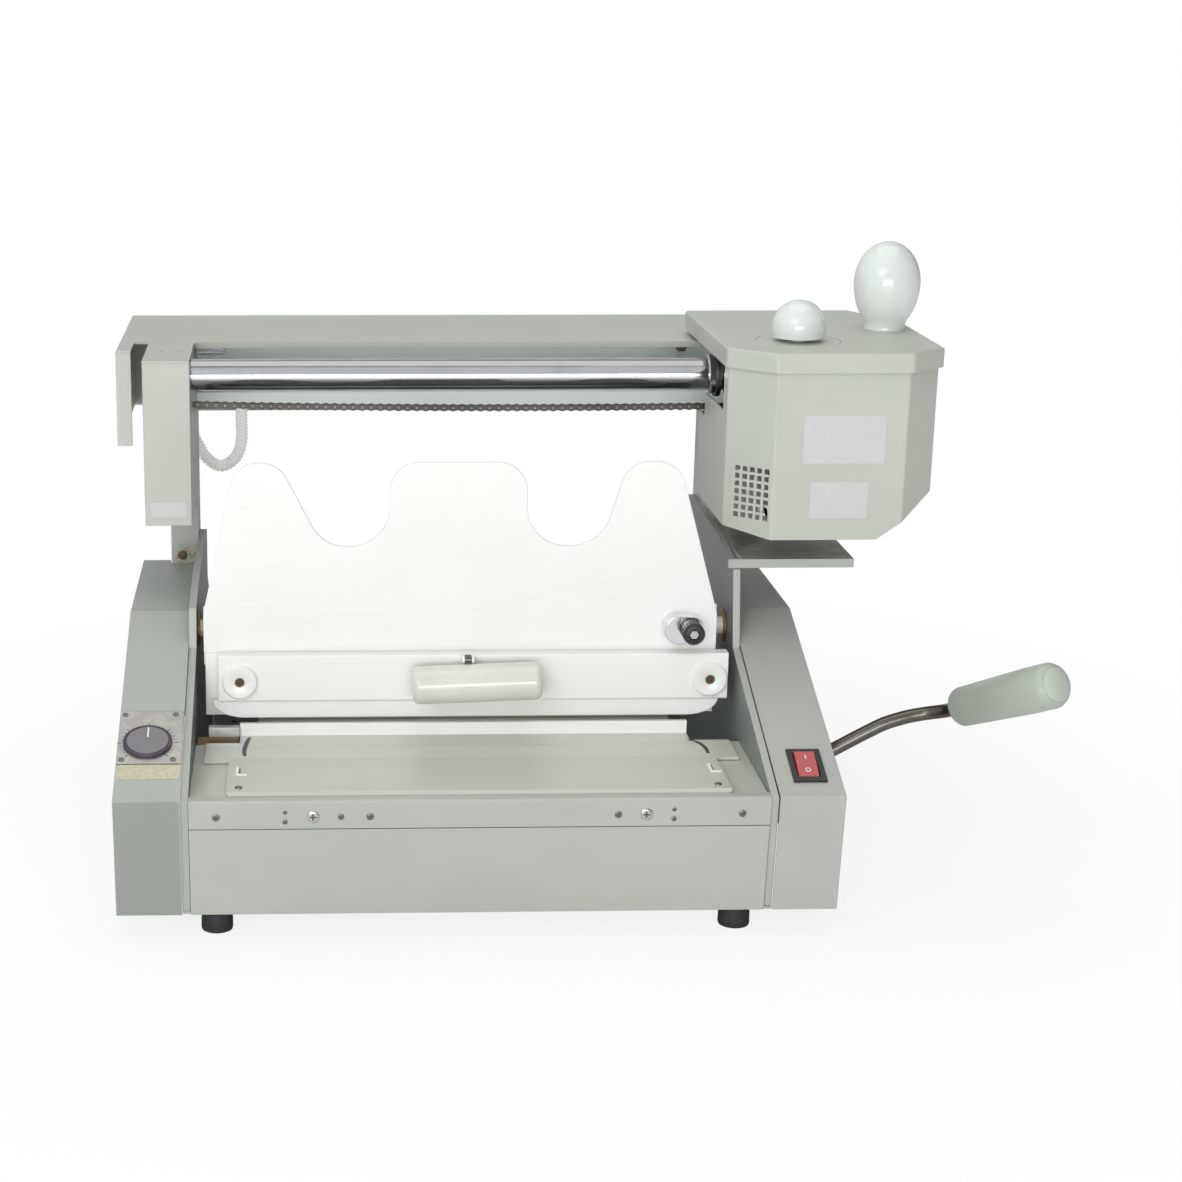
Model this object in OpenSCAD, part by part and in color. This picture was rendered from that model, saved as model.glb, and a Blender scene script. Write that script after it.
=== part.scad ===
// Desktop hot-melt glue binding machine, millimetres, Z up, standing on the floor at Z = 0.
// The machine is laid out from its own datum (X = 0 mid width, Y = 0 front fold, Z = 0 floor)
// and place() then moves it so that the origin is the bottom centre of its bounding box.

/* [Base] */
// Width over the two side covers
body_w = 450; // [440:1:470]
// Depth of the base from the front fold to the back
base_d = 400; // [390:1:420]
// Height of the rubber feet
foot_h = 15; // [12:1:20]
// Diameter of a rubber foot
foot_dia = 20; // [14:1:26]
// Distance of the feet from the edges of the base, front and back
foot_in = 22; // [18:1:34]
// Height of the front fold above the underside of the base
fold_h = 78; // [74:1:82]
// Lean of the front face, bottom edge behind the fold
front_lean = 8; // [4:1:10]
// Height of the upper front rail
rail_h = 19; // [15:1:24]
// Sheet thickness of covers and panels
sheet_t = 1.5; // [1:0.1:2]

/* [Side housings] */
// Width of a side cover
cover_w = 41; // [39:1:44]
// Thickness of a side frame plate
frame_t = 5; // [4:0.5:6]
// Depth at which the sloping top reaches its peak
peak_y = 186; // [180:1:192]
// Height of the peak above the underside of the base
peak_h = 146; // [142:1:150]
// Depth of the back edge of the flat top
flat_end_y = 324; // [322:1:330]
// Height of the back wall of a cover
back_h = 90; // [80:1:100]

/* [Clamp] */
// Depth of the front face of the wavy clamp plate
plate_y = 140; // [139:0.5:142]
// Thickness of the wavy plate
plate_t = 2.5; // [1.5:0.5:3]
// Height of the top of the wavy plate above the pivot
plate_rise = 123; // [110:1:124]
// Depth of the clamp's turning axis
pivot_y = 182; // [180:1:184]
// Height of the clamp's turning axis above the underside of the base
pivot_h = 135; // [134:1:136]
// Diameter of the two pivot stubs
pivot_dia = 12; // [10:1:13]
// How far the jaws' lower edges hang below the pivot
jaw_drop = 47.5; // [46:0.5:48]
// Height of the front jaw strip below the bar
jaw_h = 12; // [10:1:14]
// Height of the clamp bar
bar_h = 31.5; // [28:0.5:33]
// Depth of the clamp bar, front to back
bar_d = 10; // [8:1:11]
// How far the clamp bar opens
clamp_open = 40; // [20:1:42]
// Diameter of the bar's guide pins
guide_dia = 10; // [8:1:11]
// Diameter of the clamp handle's grip
grip_dia = 25; // [20:1:26]
// Length of the clamp handle's grip
grip_len = 85; // [60:1:100]

/* [Glue box] */
// Width of the glue box
box_w = 139; // [136:1:142]
// Depth of the glue box
box_d = 128; // [127:1:130]
// Height of the glue box under its lid
box_h = 112; // [110:1:113]
// Height of the lid with its skirt
lid_h = 13; // [10:1:15]
// Depth of the lid, which reaches back over the beam
lid_d = 194; // [180:1:198]
// Travel of the glue box along the rod
travel = 352; // [300:1:354]
// Diameter of the glue roller
roller_dia = 38; // [34:1:39]
// Diameter of the egg-shaped handle
egg_dia = 45; // [36:1:48]
// Height of the egg-shaped handle
egg_h = 60; // [54:1:66]
// Diameter of the dome knob
dome_dia = 36; // [28:1:40]

/* [Beam and guide] */
// Diameter of the guide rod
rod_dia = 22; // [20:0.5:22.5]
// Depth of the beam cover's top
beam_d = 130; // [110:1:140]
// Width of the left post
post_w = 32; // [30:1:34]
// Width of the beam's end cap seen from the front
cap_w = 10.5; // [8:0.5:11]
// Height of the beam's end cap
cap_h = 67; // [50:1:75]
// Sag of the drive chain at its middle
chain_sag = 3; // [1:0.5:4]

/* [Nipping table and lever] */
// Depth of the lay plate
lay_d = 64; // [55:1:66]
// Travel of the nip plate
nip_travel = 33; // [20:1:34]
// Swing of the side lever in degrees
lever_swing = 40; // [34:1:44]
// Diameter of the side lever's rod
lever_dia = 9; // [7:0.5:9]
// Diameter of the side lever's grip
lever_grip_dia = 29; // [24:1:30]
// Length of the side lever's grip, which leans forwards
lever_grip_len = 88; // [70:1:90]

/* [Controls] */
// Diameter of the thermostat dial
dial_dia = 31; // [24:1:34]
// Width of the power switch bezel
switch_w = 21; // [18:1:24]
// Length of the power switch bezel
switch_l = 31; // [26:1:34]

/* [Hidden] */
$fn = 64;

// Clearances
gap = 0.3;          // between pieces of different bodies that pass or rest close together
run_fit = 0.05;     // radial, shaft in bore
seam_gap = 0.6;     // joint line between the front rail and the panel under it
side_gap = 0.2;     // panels between the frame plates, and covers beside them
jaw_gap = 1;        // nip flange under the clamp jaws
roll_press = 1;     // how far the roller presses into a book's spine
over_beam = 3;      // glue box lid above the beam
end_gap = 5.5;      // glue box to the left post, and clamp plate to the frame plates

// Base: X of the walls, Z of the levels
base_t = 2;
side_in = body_w/2 - cover_w;             // outer face of a frame plate
plate_in = side_in - frame_t;             // inner face of a frame plate
fold_z = foot_h + fold_h;                 // table top
peak_z = foot_h + peak_h;
back_z = foot_h + back_h;
seam_z = fold_z - rail_h;
slope_a = atan2(peak_z - fold_z, peak_y);
function lean_y(z) = front_lean*(fold_z - z)/fold_h;
function slope_z(y) = fold_z + y*tan(slope_a);

// Clamp
pivot_z = foot_h + pivot_h;
jaw_z = pivot_z - jaw_drop;               // lower edge of the jaws
bar_z = jaw_z + jaw_h;
bar_top = bar_z + bar_h;
bar_y1 = plate_y - 1.7;                   // back face of the bar
bar_y0 = bar_y1 - bar_d;
rear_jaw_y = bar_y1 + gap;
plate_back = plate_y + plate_t;
clamp_x0 = -plate_in + end_gap - 0.3;
clamp_x1 = plate_in - 12.6;
bar_x0 = clamp_x0 + 9.8;
bar_x1 = plate_in - 5.9;
jaw_x0 = bar_x0 - 4;
jaw_x1 = bar_x1 - 5.2;
jaw_corner = 21;                          // width of the strip's rounded lower corners
pin_x = [bar_x0 + 14, bar_x1 - 12.1];
pin_z = bar_z + bar_h*0.45;
cap_r = 11.5;
pin_y1 = plate_back + clamp_open + 5;     // rear end of a guide pin
bush_y1 = plate_back + clamp_open;
hinge_y = bar_y0 - 6.8;                   // axis of the clamp handle
hinge_z = bar_top - 1;
hinge_r = 1.6;
hinge_w = 4;                              // width of the handle's barrel
ear_t = 1.6;
grip_y = bar_y0 - 2.5 - grip_dia/2;
grip_z = hinge_z - 13.6;
grip_x = 5.5;
grip_lean = 2;                            // right end up, degrees
tip_z = pivot_z + plate_rise;
stop_x = clamp_x1 - 19.2;                 // axis of the side stop's knob
stop_y = plate_y - 12;                    // front face of the stop's block
stop_z = bar_top + 16.9;
stop_l = 13.7;                            // length of the knob

// Nipping table
deck_t = 1.5;
nip_t = 1.7;
deck_z = fold_z - nip_t - gap;            // top of the deck
rail_d = 8;                               // depth of the rail's top return
lay_w = 312;
lay_t = 2;                                // how far the lay plate stands above the table
nip_y0 = rail_d + lay_d + 0.5;
nip_y1 = nip_y0 + 52.5;
lip_z = jaw_z - jaw_gap;                  // top of the nip flange
bed_y1 = nip_y1 + nip_travel + 2;         // front face of the rear nip jaw
bed_w = 278;
lay_z = fold_z + lay_t;                   // top of the lay plate
spine_z = deck_z;                         // where a book's spine stands
nip_x = plate_in - 7;
corner_y = 110;                           // the table's back corners are cut off here

// Glue box
roller_z0 = 2*pivot_z - spine_z - roll_press;
roller_z = roller_z0 + roller_dia/2;
box_z0 = roller_z0 + 9;
box_z1 = box_z0 + box_h;                  // underside of the lid's skirt
lid_z = box_z1 + lid_h;
box_x0 = plate_in - end_gap;
box_x1 = box_x0 + box_w;
box_y0 = plate_back + 9.5;
box_y1 = box_y0 + box_d;
chamfer_l = [28, 24];                     // front left corner, X and Y
rise_l = 5;                               // lower edge rises to the left across that corner
chamfer_r = [24, 22];                     // front right corner
notch_z = box_z1 - 49;                    // side walls are open above this
lid_over = 3;
rod_y = box_y0 + 95;
beam_z = box_z1 - over_beam;              // top of the beam cover
rod_z = beam_z - 14;
chain_z = rod_z - 24;
chain_y = rod_y + 19;
chain_h = 5.5;
sprocket_r = 14;
sprocket_z = chain_z - chain_sag - chain_h/2 - gap - sprocket_r;
roller_x = box_x0 + 32.5;
shaft_r = 4;
tank_z1 = box_z0 + 41;
tank_x0 = box_x0 + 7;
tank_x1 = box_x0 + 96;
tank_y = [box_y0 + 50, box_y0 + 122];
roller_y = [tank_y[0] + 14, tank_y[1] - 5];
plate_c = [rod_y - 21, rod_y - 18];       // carriage plate, front and back faces
bush_r = 13.5;
bush_x = [box_x0 + 12, box_x0 + 90];
bush_l = 20;
block_d = 15;                             // blocks around the rod, from its axis to their back
dome_at = [box_x0 + 51, box_y0 + 51];
egg_at = [box_x0 + 122, box_y0 + 103];
cap_r0 = 28;                              // filler cap

// Beam, post, uprights
lip_y = box_y1 + 22;                      // front edge of the beam's top
beam_y1 = lip_y + beam_d;
cap_x0 = -body_w/2 - 12;
beam_x1 = box_x1 + 9;
cap_y = box_y1 - 16;                      // front of the end cap
skirt_z = rod_z - 55;                     // lower edge of the beam's back
spacer_x = [-150, 40, 230];
post_y = rod_y - 26.4;
post_z = box_z0 - 5;
post_x0 = -side_in - post_w;
web_t = 3;
web_y = [flat_end_y - 9, flat_end_y + 26];
upright_z = foot_h + 40;                  // lower end of the uprights
flange_w = 20;
bolt_x = side_in + 12;                    // bolts of the uprights, above the covers
bolt_z = peak_z + 6;
bolt_r = 2;
channel_y = web_y[1] - 10;                // front face of the channel's web
channel_z0 = rod_z - 35;
channel_z1 = beam_z - sheet_t - 2.5;
channel_d = 22;
block_x1 = box_x1 - 15;                   // right rod block

// Nip lever
lever_x = side_in + 16;
lever_y = 100;
lever_z = foot_h + 51;                    // where the rod leaves the hub
arm_r = nip_travel/sin(lever_swing);
arm_z = foot_h + 61;
pin_r = 3;
pin_play = 1.6;

// Reference: bottom centre of the bounding box
grip_start = [lever_x + 116, lever_y - 20, lever_z + 57.6];
grip_lie = [62, 25.4];                    // grip's axis: forwards from +X, and upwards, degrees
grip_dir = [cos(grip_lie[1])*cos(grip_lie[0]), -cos(grip_lie[1])*sin(grip_lie[0]), sin(grip_lie[1])];
grip_rim = [4, 1.2];                      // where its end starts to round: from the end, inwards
tip_x = grip_start[0] + (lever_grip_len - grip_rim[0])*grip_dir[0]
    + (lever_grip_dia/2 - grip_rim[1])*sqrt(1 - pow(grip_dir[0], 2));
mid_x = (cap_x0 + tip_x)/2;
mid_y = beam_y1/2;

module place() translate([-mid_x, -mid_y, 0]) children();

// --- shared shapes ---
module along_x(x0, x1) translate([x0, 0, 0]) rotate([90, 0, 90]) linear_extrude(x1 - x0) children();
module along_y(y0, y1) translate([0, y1, 0]) rotate([90, 0, 0]) linear_extrude(y1 - y0) children();
module block(lo, hi) translate(lo) cube(hi - lo);
module cyl_x(x0, x1, y, z, r) translate([x0, y, z]) rotate([0, 90, 0]) cylinder(h = x1 - x0, r = r);
module cyl_y(x, y0, y1, z, r) translate([x, y0, z]) rotate([-90, 0, 0]) cylinder(h = y1 - y0, r = r);
module cyl_z(x, y, z0, z1, r) translate([x, y, z0]) cylinder(h = z1 - z0, r = r);
module flip_x(on) if (on) mirror([1, 0, 0]) children(); else children();
module on_slope(x, y) translate([x, y, slope_z(y)]) rotate([slope_a, 0, 0]) children();
module rod_between(a, b, r) {
    d = b - a;
    translate(a) rotate([0, acos(d[2]/norm(d)), atan2(d[1], d[0])]) cylinder(h = norm(d), r = r);
}

// Outline of a closed shape moved inwards by d, its points running anticlockwise
function unit(v) = v/norm(v);
function inset_pt(a, b, c, d) =
    let (u = unit(b - a), v = unit(c - b), n = [-u[1], u[0]], m = [-v[1], v[0]])
    b + d*(n + m)/(1 + n*m);
function inset(p, d) =
    let (k = len(p)) [for (i = [0:k - 1]) inset_pt(p[(i + k - 1)%k], p[i], p[(i + 1)%k], d)];

// Side outline of a housing, Y and Z
function housing(back) = [
    [front_lean, foot_h], [back, foot_h], [back, back_z],
    [flat_end_y, peak_z], [peak_y, peak_z], [0, fold_z]];

// --- base ---
module base_plate() place() color("#8f938c") difference() {
    block([-side_in, front_lean + sheet_t, foot_h], [side_in, base_d - sheet_t, foot_h + base_t]);
    for (x = [-1, 1], y = [foot_in, base_d - foot_in])
        cyl_z(x*(body_w/2 - 62), y, foot_h - 1, foot_h + 3, 2.5);
}

module rubber_feet() place() color("#3a3b3d")
    for (x = [-1, 1], y = [foot_in, base_d - foot_in])
        translate([x*(body_w/2 - 62), y, 0]) difference() {
            union() {
                cylinder(h = foot_h, r = foot_dia/2);
                translate([0, 0, foot_h]) cylinder(h = 2.5, r = 2.4);
            }
            translate([0, 0, -1]) cylinder(h = foot_h/2, r = foot_dia/5);
        }

// Frame plate of the right side, with a raised rear part that carries the clamp's pivot
module frame_plate(rise) along_x(plate_in, side_in) difference() {
    union() {
        polygon(inset(housing(base_d - 4), base_t));
        polygon([
            [peak_y - 46, fold_z + 20], [flat_end_y + 18, fold_z + 20],
            [flat_end_y + 18, rise], [peak_y + 35, rise], [peak_y - 29, rise - 9]]);
    }
    translate([pivot_y, pivot_z]) circle(r = pivot_dia/2 + 3);
}

module left_frame_plate() place() color("#565955") flip_x(true) frame_plate(post_z - 32);

module right_frame_plate() place() color("#858b84") difference() {
    frame_plate(roller_z0 - 3);
    block([plate_in - 1, lever_y - 8, arm_z - 1.5], [side_in + 1, lever_y + 26, arm_z + 6.5]);
}

// Shell of a side cover: open at the frame plate and underneath
module cover_shell() difference() {
    along_x(side_in + 0.2, body_w/2) polygon(housing(base_d));
    along_x(side_in, body_w/2 - sheet_t)
        polygon(concat([[front_lean + sheet_t, foot_h - 1], [base_d - sheet_t, foot_h - 1]],
            [for (i = [2:5]) inset(housing(base_d), sheet_t)[i]]));
    block([side_in, web_y[0] - 1, peak_z - 30], [side_in + 21, web_y[1] + 1, peak_z + 1]);
}

module left_cover() place() color("#a9b0a8") difference() {
    flip_x(true) cover_shell();
    on_slope(dial_x, dial_y) translate([0, 0, -6]) cylinder(h = 12, r = dial_dia/2 - 4);
}

module right_cover() place() color("#b5b8b1") difference() {
    cover_shell();
    on_slope(switch_x, switch_y) cube([switch_w - 4, switch_l - 4, 12], center = true);
    block([body_w/2 - 5, lever_y - 32, lever_z], [body_w/2 + 1, lever_y + 8, lever_z + 34]);
}

module front_panel() place() color("#bcbfb9") along_x(-plate_in + 0.2, plate_in - 0.2)
    polygon([
        [lean_y(seam_z - seam_gap), seam_z - seam_gap], [front_lean, foot_h],
        [front_lean + sheet_t, foot_h], [lean_y(seam_z - seam_gap) + sheet_t, seam_z - seam_gap]]);

screw_z = fold_z - 11;
small_screws = [-162, -85.6, -67.8, 84.6, 161.2];
pair_screws = [-119.8, 119];
big_screws = [-102.7, 101.9];

module front_rail() place() color("#c4c5bd") difference() {
    along_x(-plate_in + 0.2, plate_in - 0.2) polygon([
        [0, fold_z], [lean_y(seam_z), seam_z], [lean_y(seam_z) + 14, seam_z],
        [lean_y(seam_z) + 14, seam_z + sheet_t], [lean_y(seam_z) + sheet_t, seam_z + sheet_t],
        [sheet_t, fold_z - sheet_t], [rail_d, fold_z - sheet_t], [rail_d, fold_z]]);
    for (x = small_screws) cyl_y(x, -1, 6, screw_z, 1.6);
    for (x = pair_screws, z = [-3, 3]) cyl_y(x, -1, 6, screw_z + z, 1.3);
    for (x = big_screws) cyl_y(x, -1, 6, screw_z, 2.6);
}

// A screw square to the front, its head just clear of the leaning face
module front_screw(x, z, head, shank) {
    seat = lean_y(z + head) - 0.02;
    cyl_y(x, seat - 0.6, seat, z, head);
    cyl_y(x, seat - 0.1, lean_y(z) + 6, z, shank);
}

lay_screw_x = lay_w/2 - 7.5;
lay_screw_y = rail_d + 10;

module chassis_screws() place() color("#6c6d69") {
    for (x = small_screws) front_screw(x, screw_z, 2.6, 1.5);
    for (x = pair_screws, z = [-3, 3]) front_screw(x, screw_z + z, 2, 1.2);
    for (x = big_screws) front_screw(x, screw_z, 3.9, 2.5);
    for (x = [-1, 1]) {
        cyl_z(x*lay_screw_x, lay_screw_y, deck_z - 4, lay_z + 0.1, 1.5);
        cyl_z(x*lay_screw_x, lay_screw_y, lay_z, lay_z + 0.9, 2.4);
        cyl_y(x*bolt_x, web_y[0] - 2, web_y[0], bolt_z, bolt_r + 1.4);
        cyl_y(x*bolt_x, web_y[0] - 0.5, web_y[0] + web_t + 1, bolt_z, bolt_r);
    }
}

// --- nipping table ---
module table_deck() place() color("#a6afa3") difference() {
    union() {
        block([-plate_in + 0.2, rail_d + 0.2, deck_z - deck_t], [plate_in - 0.2, nip_y1 - 1, deck_z]);
        block([-plate_in + 0.2, nip_y1 - 1 - sheet_t, deck_z - 22], [plate_in - 0.2, nip_y1 - 1, deck_z]);
    }
    block([lever_x - arm_r - 9, lever_y - 9, deck_z - 23], [plate_in - 9, nip_y1, deck_z + 1]);
    block([bed_w/2 + 9, corner_y, deck_z - 23], [plate_in + 1, nip_y1, deck_z + 1]);
    block([-plate_in - 1, corner_y, deck_z - 23], [-bed_w/2 - 11, nip_y1, deck_z + 1]);
    for (x = [-1, 1]) cyl_z(x*lay_screw_x, lay_screw_y, deck_z - 3, deck_z + 1, 1.6);
}

module lay_plate() place() color("#bbbcb4") difference() {
    along_x(-lay_w/2, lay_w/2) polygon([
        [rail_d + 0.3, deck_z], [nip_y0 - 0.4, deck_z], [nip_y0 - 0.4, lay_z - 0.6],
        [nip_y0 - 1, lay_z], [rail_d + 2.5, lay_z], [rail_d + 0.3, lay_z - 1.6]]);
    for (x = [-1, 1]) cyl_z(x*lay_screw_x, lay_screw_y, deck_z - 1, lay_z + 1, 1.6);
}
module nip_plate() place() color("#b4b8af") {
    difference() {
        union() {
            block([-nip_x, nip_y0, deck_z + gap], [nip_x, nip_y1 - 3, fold_z]);
            block([-bed_w/2 - 11, nip_y1 - 3, deck_z + gap], [bed_w/2 + 7, nip_y1, lip_z]);
        }
        block([-nip_x - 1, nip_y0 + 28, fold_z - 0.5], [nip_x + 1, nip_y0 + 29, fold_z + 1]);
        block([bed_w/2 + 7, corner_y - 2, deck_z], [nip_x + 1, nip_y1 + 1, fold_z + 1]);
        block([-nip_x - 1, corner_y - 2, deck_z], [-bed_w/2 - 11, nip_y1 + 1, fold_z + 1]);
    }
    for (s = [-1, 1]) translate([0, s*(pin_r + pin_play + 1.5), 0])
        block([lever_x - arm_r - 6, lever_y - 1.5, arm_z + 7], [plate_in - 12, lever_y + 1.5, deck_z + gap]);
}

module rear_nip_jaw() place() color("#9aa19a") {
    block([-bed_w/2, nip_y1 - 0.8, deck_z - 3], [bed_w/2, bed_y1, deck_z]);
    block([-bed_w/2, bed_y1, foot_h + 2], [bed_w/2, bed_y1 + 2.5, fold_z]);
    block([-bed_w/2, bed_y1 + 2.5, foot_h + 2], [bed_w/2, bed_y1 + 16, foot_h + 4]);
}

module rear_panel() place() color("#a2a8a0") {
    difference() {
        block([-plate_in + 0.2, base_d - 3 - sheet_t, foot_h + 2], [plate_in - 0.2, base_d - 3, back_z]);
        block([inlet_x - 14, base_d - 8, inlet_z - 11], [inlet_x + 14, base_d, inlet_z + 11]);
    }
    block([-plate_in + 0.2, base_d - 20, back_z - sheet_t], [plate_in - 0.2, base_d - 3 - sheet_t, back_z]);
}
inlet_x = -120;
inlet_z = foot_h + 30;

module mains_inlet() place() color("#2f3032") difference() {
    union() {
        block([inlet_x - 13.8, base_d - 26, inlet_z - 10.8], [inlet_x + 13.8, base_d - 3, inlet_z + 10.8]);
        block([inlet_x - 17, base_d - 3, inlet_z - 13], [inlet_x + 17, base_d - 0.5, inlet_z + 13]);
    }
    block([inlet_x - 12, base_d - 20, inlet_z - 8], [inlet_x + 12, base_d, inlet_z + 8]);
}

// --- uprights, beam and guide ---
module upright_flange() difference() {
    block([side_in + web_t, web_y[0], upright_z], [side_in + flange_w, web_y[0] + web_t, channel_z0 - 0.5]);
    cyl_y(bolt_x, web_y[0] - 1, web_y[0] + web_t + 1, bolt_z, bolt_r + gap/3);
}

module left_upright() place() color("#a4aa9f") flip_x(true) {
    difference() {
        along_x(side_in, side_in + web_t) polygon([
            [web_y[0], upright_z], [web_y[1], upright_z], [web_y[1], channel_z1],
            [post_y + sheet_t, channel_z1], [post_y + sheet_t, post_z], [web_y[0], post_z]]);
        cyl_x(side_in - 1, side_in + web_t + 1, rod_y, rod_z, rod_dia/2 + 0.3);
        block([side_in - 1, chain_y - 4, chain_z - 6], [side_in + web_t + 1, chain_y + 4, chain_z + 6]);
    }
    upright_flange();
}

module right_upright() place() color("#969b95") {
    along_x(side_in, side_in + web_t) polygon([
        [web_y[0], upright_z], [web_y[1], upright_z],
        [web_y[1], channel_z0], [web_y[0], channel_z0]]);
    upright_flange();
}

module beam_channel() place() color("#9fb0ae") along_x(-side_in, beam_x1 - 3) {
    c = channel_y;
    polygon([
        [c + 2.5, channel_z0], [c + 2.5, channel_z1], [c - channel_d, channel_z1],
        [c - channel_d, channel_z1 - 2.5], [c, channel_z1 - 2.5], [c, channel_z0 + 2.5],
        [c - channel_d + 2.5, channel_z0 + 2.5], [c - channel_d + 2.5, channel_z0 + 10],
        [c - channel_d, channel_z0 + 10], [c - channel_d, channel_z0]]);
}

module beam_cover() place() color("#b4b8aa") {
    t = sheet_t;
    block([cap_x0, lip_y, beam_z - t], [beam_x1, beam_y1, beam_z]);
    block([cap_x0, cap_y, beam_z - t], [cap_x0 + cap_w, lip_y, beam_z]);
    block([post_x0, post_y, beam_z - t], [-side_in, lip_y, beam_z]);
    block([-side_in, lip_y, beam_z - 4.5], [beam_x1, lip_y + t, beam_z]);
    block([cap_x0, beam_y1 - t, skirt_z], [beam_x1, beam_y1, beam_z]);
    block([cap_x0 + 20, beam_y1 - 26, skirt_z], [beam_x1, beam_y1, skirt_z + t]);
    block([beam_x1 - t, lip_y, skirt_z], [beam_x1, beam_y1, beam_z]);
    // spacers that seat the cover on the channel
    for (x = spacer_x)
        block([x, channel_y - 10, channel_z1], [x + 24, channel_y, beam_z - t]);
}

module beam_end_cap() place() color("#b8bcb2") {
    block([cap_x0, cap_y, beam_z - cap_h], [cap_x0 + cap_w, cap_y + sheet_t, beam_z - sheet_t]);
    block([cap_x0, cap_y + sheet_t, beam_z - cap_h],
        [cap_x0 + sheet_t, beam_y1 - sheet_t, beam_z - sheet_t]);
}

module post_cover() place() color("#cacdc6") {
    block([post_x0, post_y, post_z], [-side_in, post_y + sheet_t, beam_z - sheet_t]);
    block([post_x0, post_y + sheet_t, post_z], [post_x0 + sheet_t, web_y[1], beam_z - sheet_t]);
    block([post_x0 + sheet_t, web_y[1] - sheet_t, post_z], [-side_in - 20, web_y[1], beam_z - sheet_t]);
}

module guide_rod() place() color("#c8cbcc") cyl_x(-side_in - 24, block_x1 + 16, rod_y, rod_z, rod_dia/2);

module rod_blocks() place() color("#7d807c") {
    difference() {
        block([-side_in - 20, rod_y - 16, rod_z - 16], [-side_in - web_t, rod_y + 16, channel_z1]);
        cyl_x(-side_in - 21, -side_in, rod_y, rod_z, rod_dia/2);
    }
    difference() {
        union() {
            block([block_x1, rod_y - 15, rod_z - 15], [block_x1 + 14, rod_y + 15, beam_z - 0.6]);
            block([block_x1, rod_y + 15, rod_z - 15], [block_x1 + 14, channel_y, rod_z + 4]);
        }
        cyl_x(block_x1 - 1, block_x1 + 15, rod_y, rod_z, rod_dia/2);
        cyl_x(block_x1 + 3, block_x1 + 15, chain_y, chain_z, 1.5);
    }
    // lugs that hold the two ends of the chain
    block([-side_in - 14, chain_y - 3, chain_z - 4], [-side_in - web_t, chain_y + 3, rod_z - 16]);
    block([block_x1, chain_y - 3, chain_z - 4], [block_x1 + 8, chain_y + 3, rod_z - 15]);
}

// Sagging drive chain as one flat strip, between its two lugs
chain_x0 = -side_in - web_t;
function chain_at(k) = let (x = chain_x0 + (block_x1 - chain_x0)*k) [x, chain_z - 4*chain_sag*k*(1 - k)];
module drive_chain() place() color("#4b4a46") along_y(chain_y - 2, chain_y + 2) {
    steps = 16;
    polygon(concat(
        [for (i = [0:steps]) chain_at(i/steps) - [0, chain_h/2]],
        [for (i = [steps:-1:0]) chain_at(i/steps) + [0, chain_h/2]]));
}

// Corrugated conduit that hangs in a loop behind the post
hose_r = 4.6;
hose_at = [
    [-152.6, 352, 292], [-152.6, 352, 276], [-152.6, 352, 260], [-152.8, 352, 245], [-157, 352, 232.5],
    [-167.5, 353, 225.5], [-178, 354, 230.5], [-186, 356, 243], [-190.5, 358, 255], [-191.5, 358, 264]];
function hose_point(u) = let (
        n = len(hose_at) - 1, i = min(floor(u), n - 1), k = u - i,
        a = hose_at[max(i - 1, 0)], b = hose_at[i], c = hose_at[i + 1], d = hose_at[min(i + 2, n)])
    0.5*((2*b) + (c - a)*k + (2*a - 5*b + 4*c - d)*k*k + (3*b - a - 3*c + d)*k*k*k);
module sweep(path, r, sides) {
    n = len(path);
    rings = [for (i = [0:n - 1])
        let (t = i == 0 || i == n - 1 ? [0, 0, i == 0 ? -1 : 1] : unit(path[i + 1] - path[i - 1]),
            s = unit(cross(t, [0, 1, 0])), v = cross(s, t))
        for (j = [0:sides - 1]) path[i] + r*(cos(360*j/sides)*s + sin(360*j/sides)*v)];
    faces = concat(
        [[for (j = [sides - 1:-1:0]) j]],
        [for (i = [0:n - 2], j = [0:sides - 1])
            [i*sides + j, i*sides + (j + 1)%sides, (i + 1)*sides + (j + 1)%sides, (i + 1)*sides + j]],
        [[for (j = [0:sides - 1]) (n - 1)*sides + j]]);
    polyhedron(points = rings, faces = faces, convexity = 6);
}
module conduit_hose() place() color("#d2d4d1")
    sweep([for (u = [0:0.5:len(hose_at) - 1]) hose_point(u)], hose_r, 12);

module conduit_glands() place() color("#c9cbc6") {
    a = hose_at[0];
    b = hose_at[len(hose_at) - 1];
    block([a[0] - 7, channel_y + 2.5, a[2]], [a[0] + 7, a[1] + 7, a[2] + 12]);
    block([b[0] - 7, web_y[1], b[2]], [b[0] + 7, b[1] + 7, b[2] + 12]);
}

// --- controls ---
dial_x = -body_w/2 + 19;
dial_y = 52;
switch_x = body_w/2 - 20;
switch_y = 27;

dial_plate_y = [33.4, 82];                // front and back ends of the thermostat's plate
dial_plate_t = 1.2;
module thermostat_plate() place() color("#aeb3aa") difference() {
    on_slope(-side_in - cover_w/2, (dial_plate_y[0] + dial_plate_y[1])/2)
        translate([0, 0, dial_plate_t/2])
            cube([cover_w - 0.6, (dial_plate_y[1] - dial_plate_y[0])/cos(slope_a), dial_plate_t],
                center = true);
    on_slope(dial_x, dial_y) translate([0, 0, -1]) cylinder(h = 4, r = dial_dia/2 - 4);
}

module thermostat_body() place() color("#3e4044") on_slope(dial_x, dial_y) {
    translate([0, 0, -26]) cylinder(h = 24, r = dial_dia/2 - 4.5);
    translate([0, 0, -3]) cylinder(h = 3.4, r = dial_dia/2 - 4.5);
}

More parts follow.
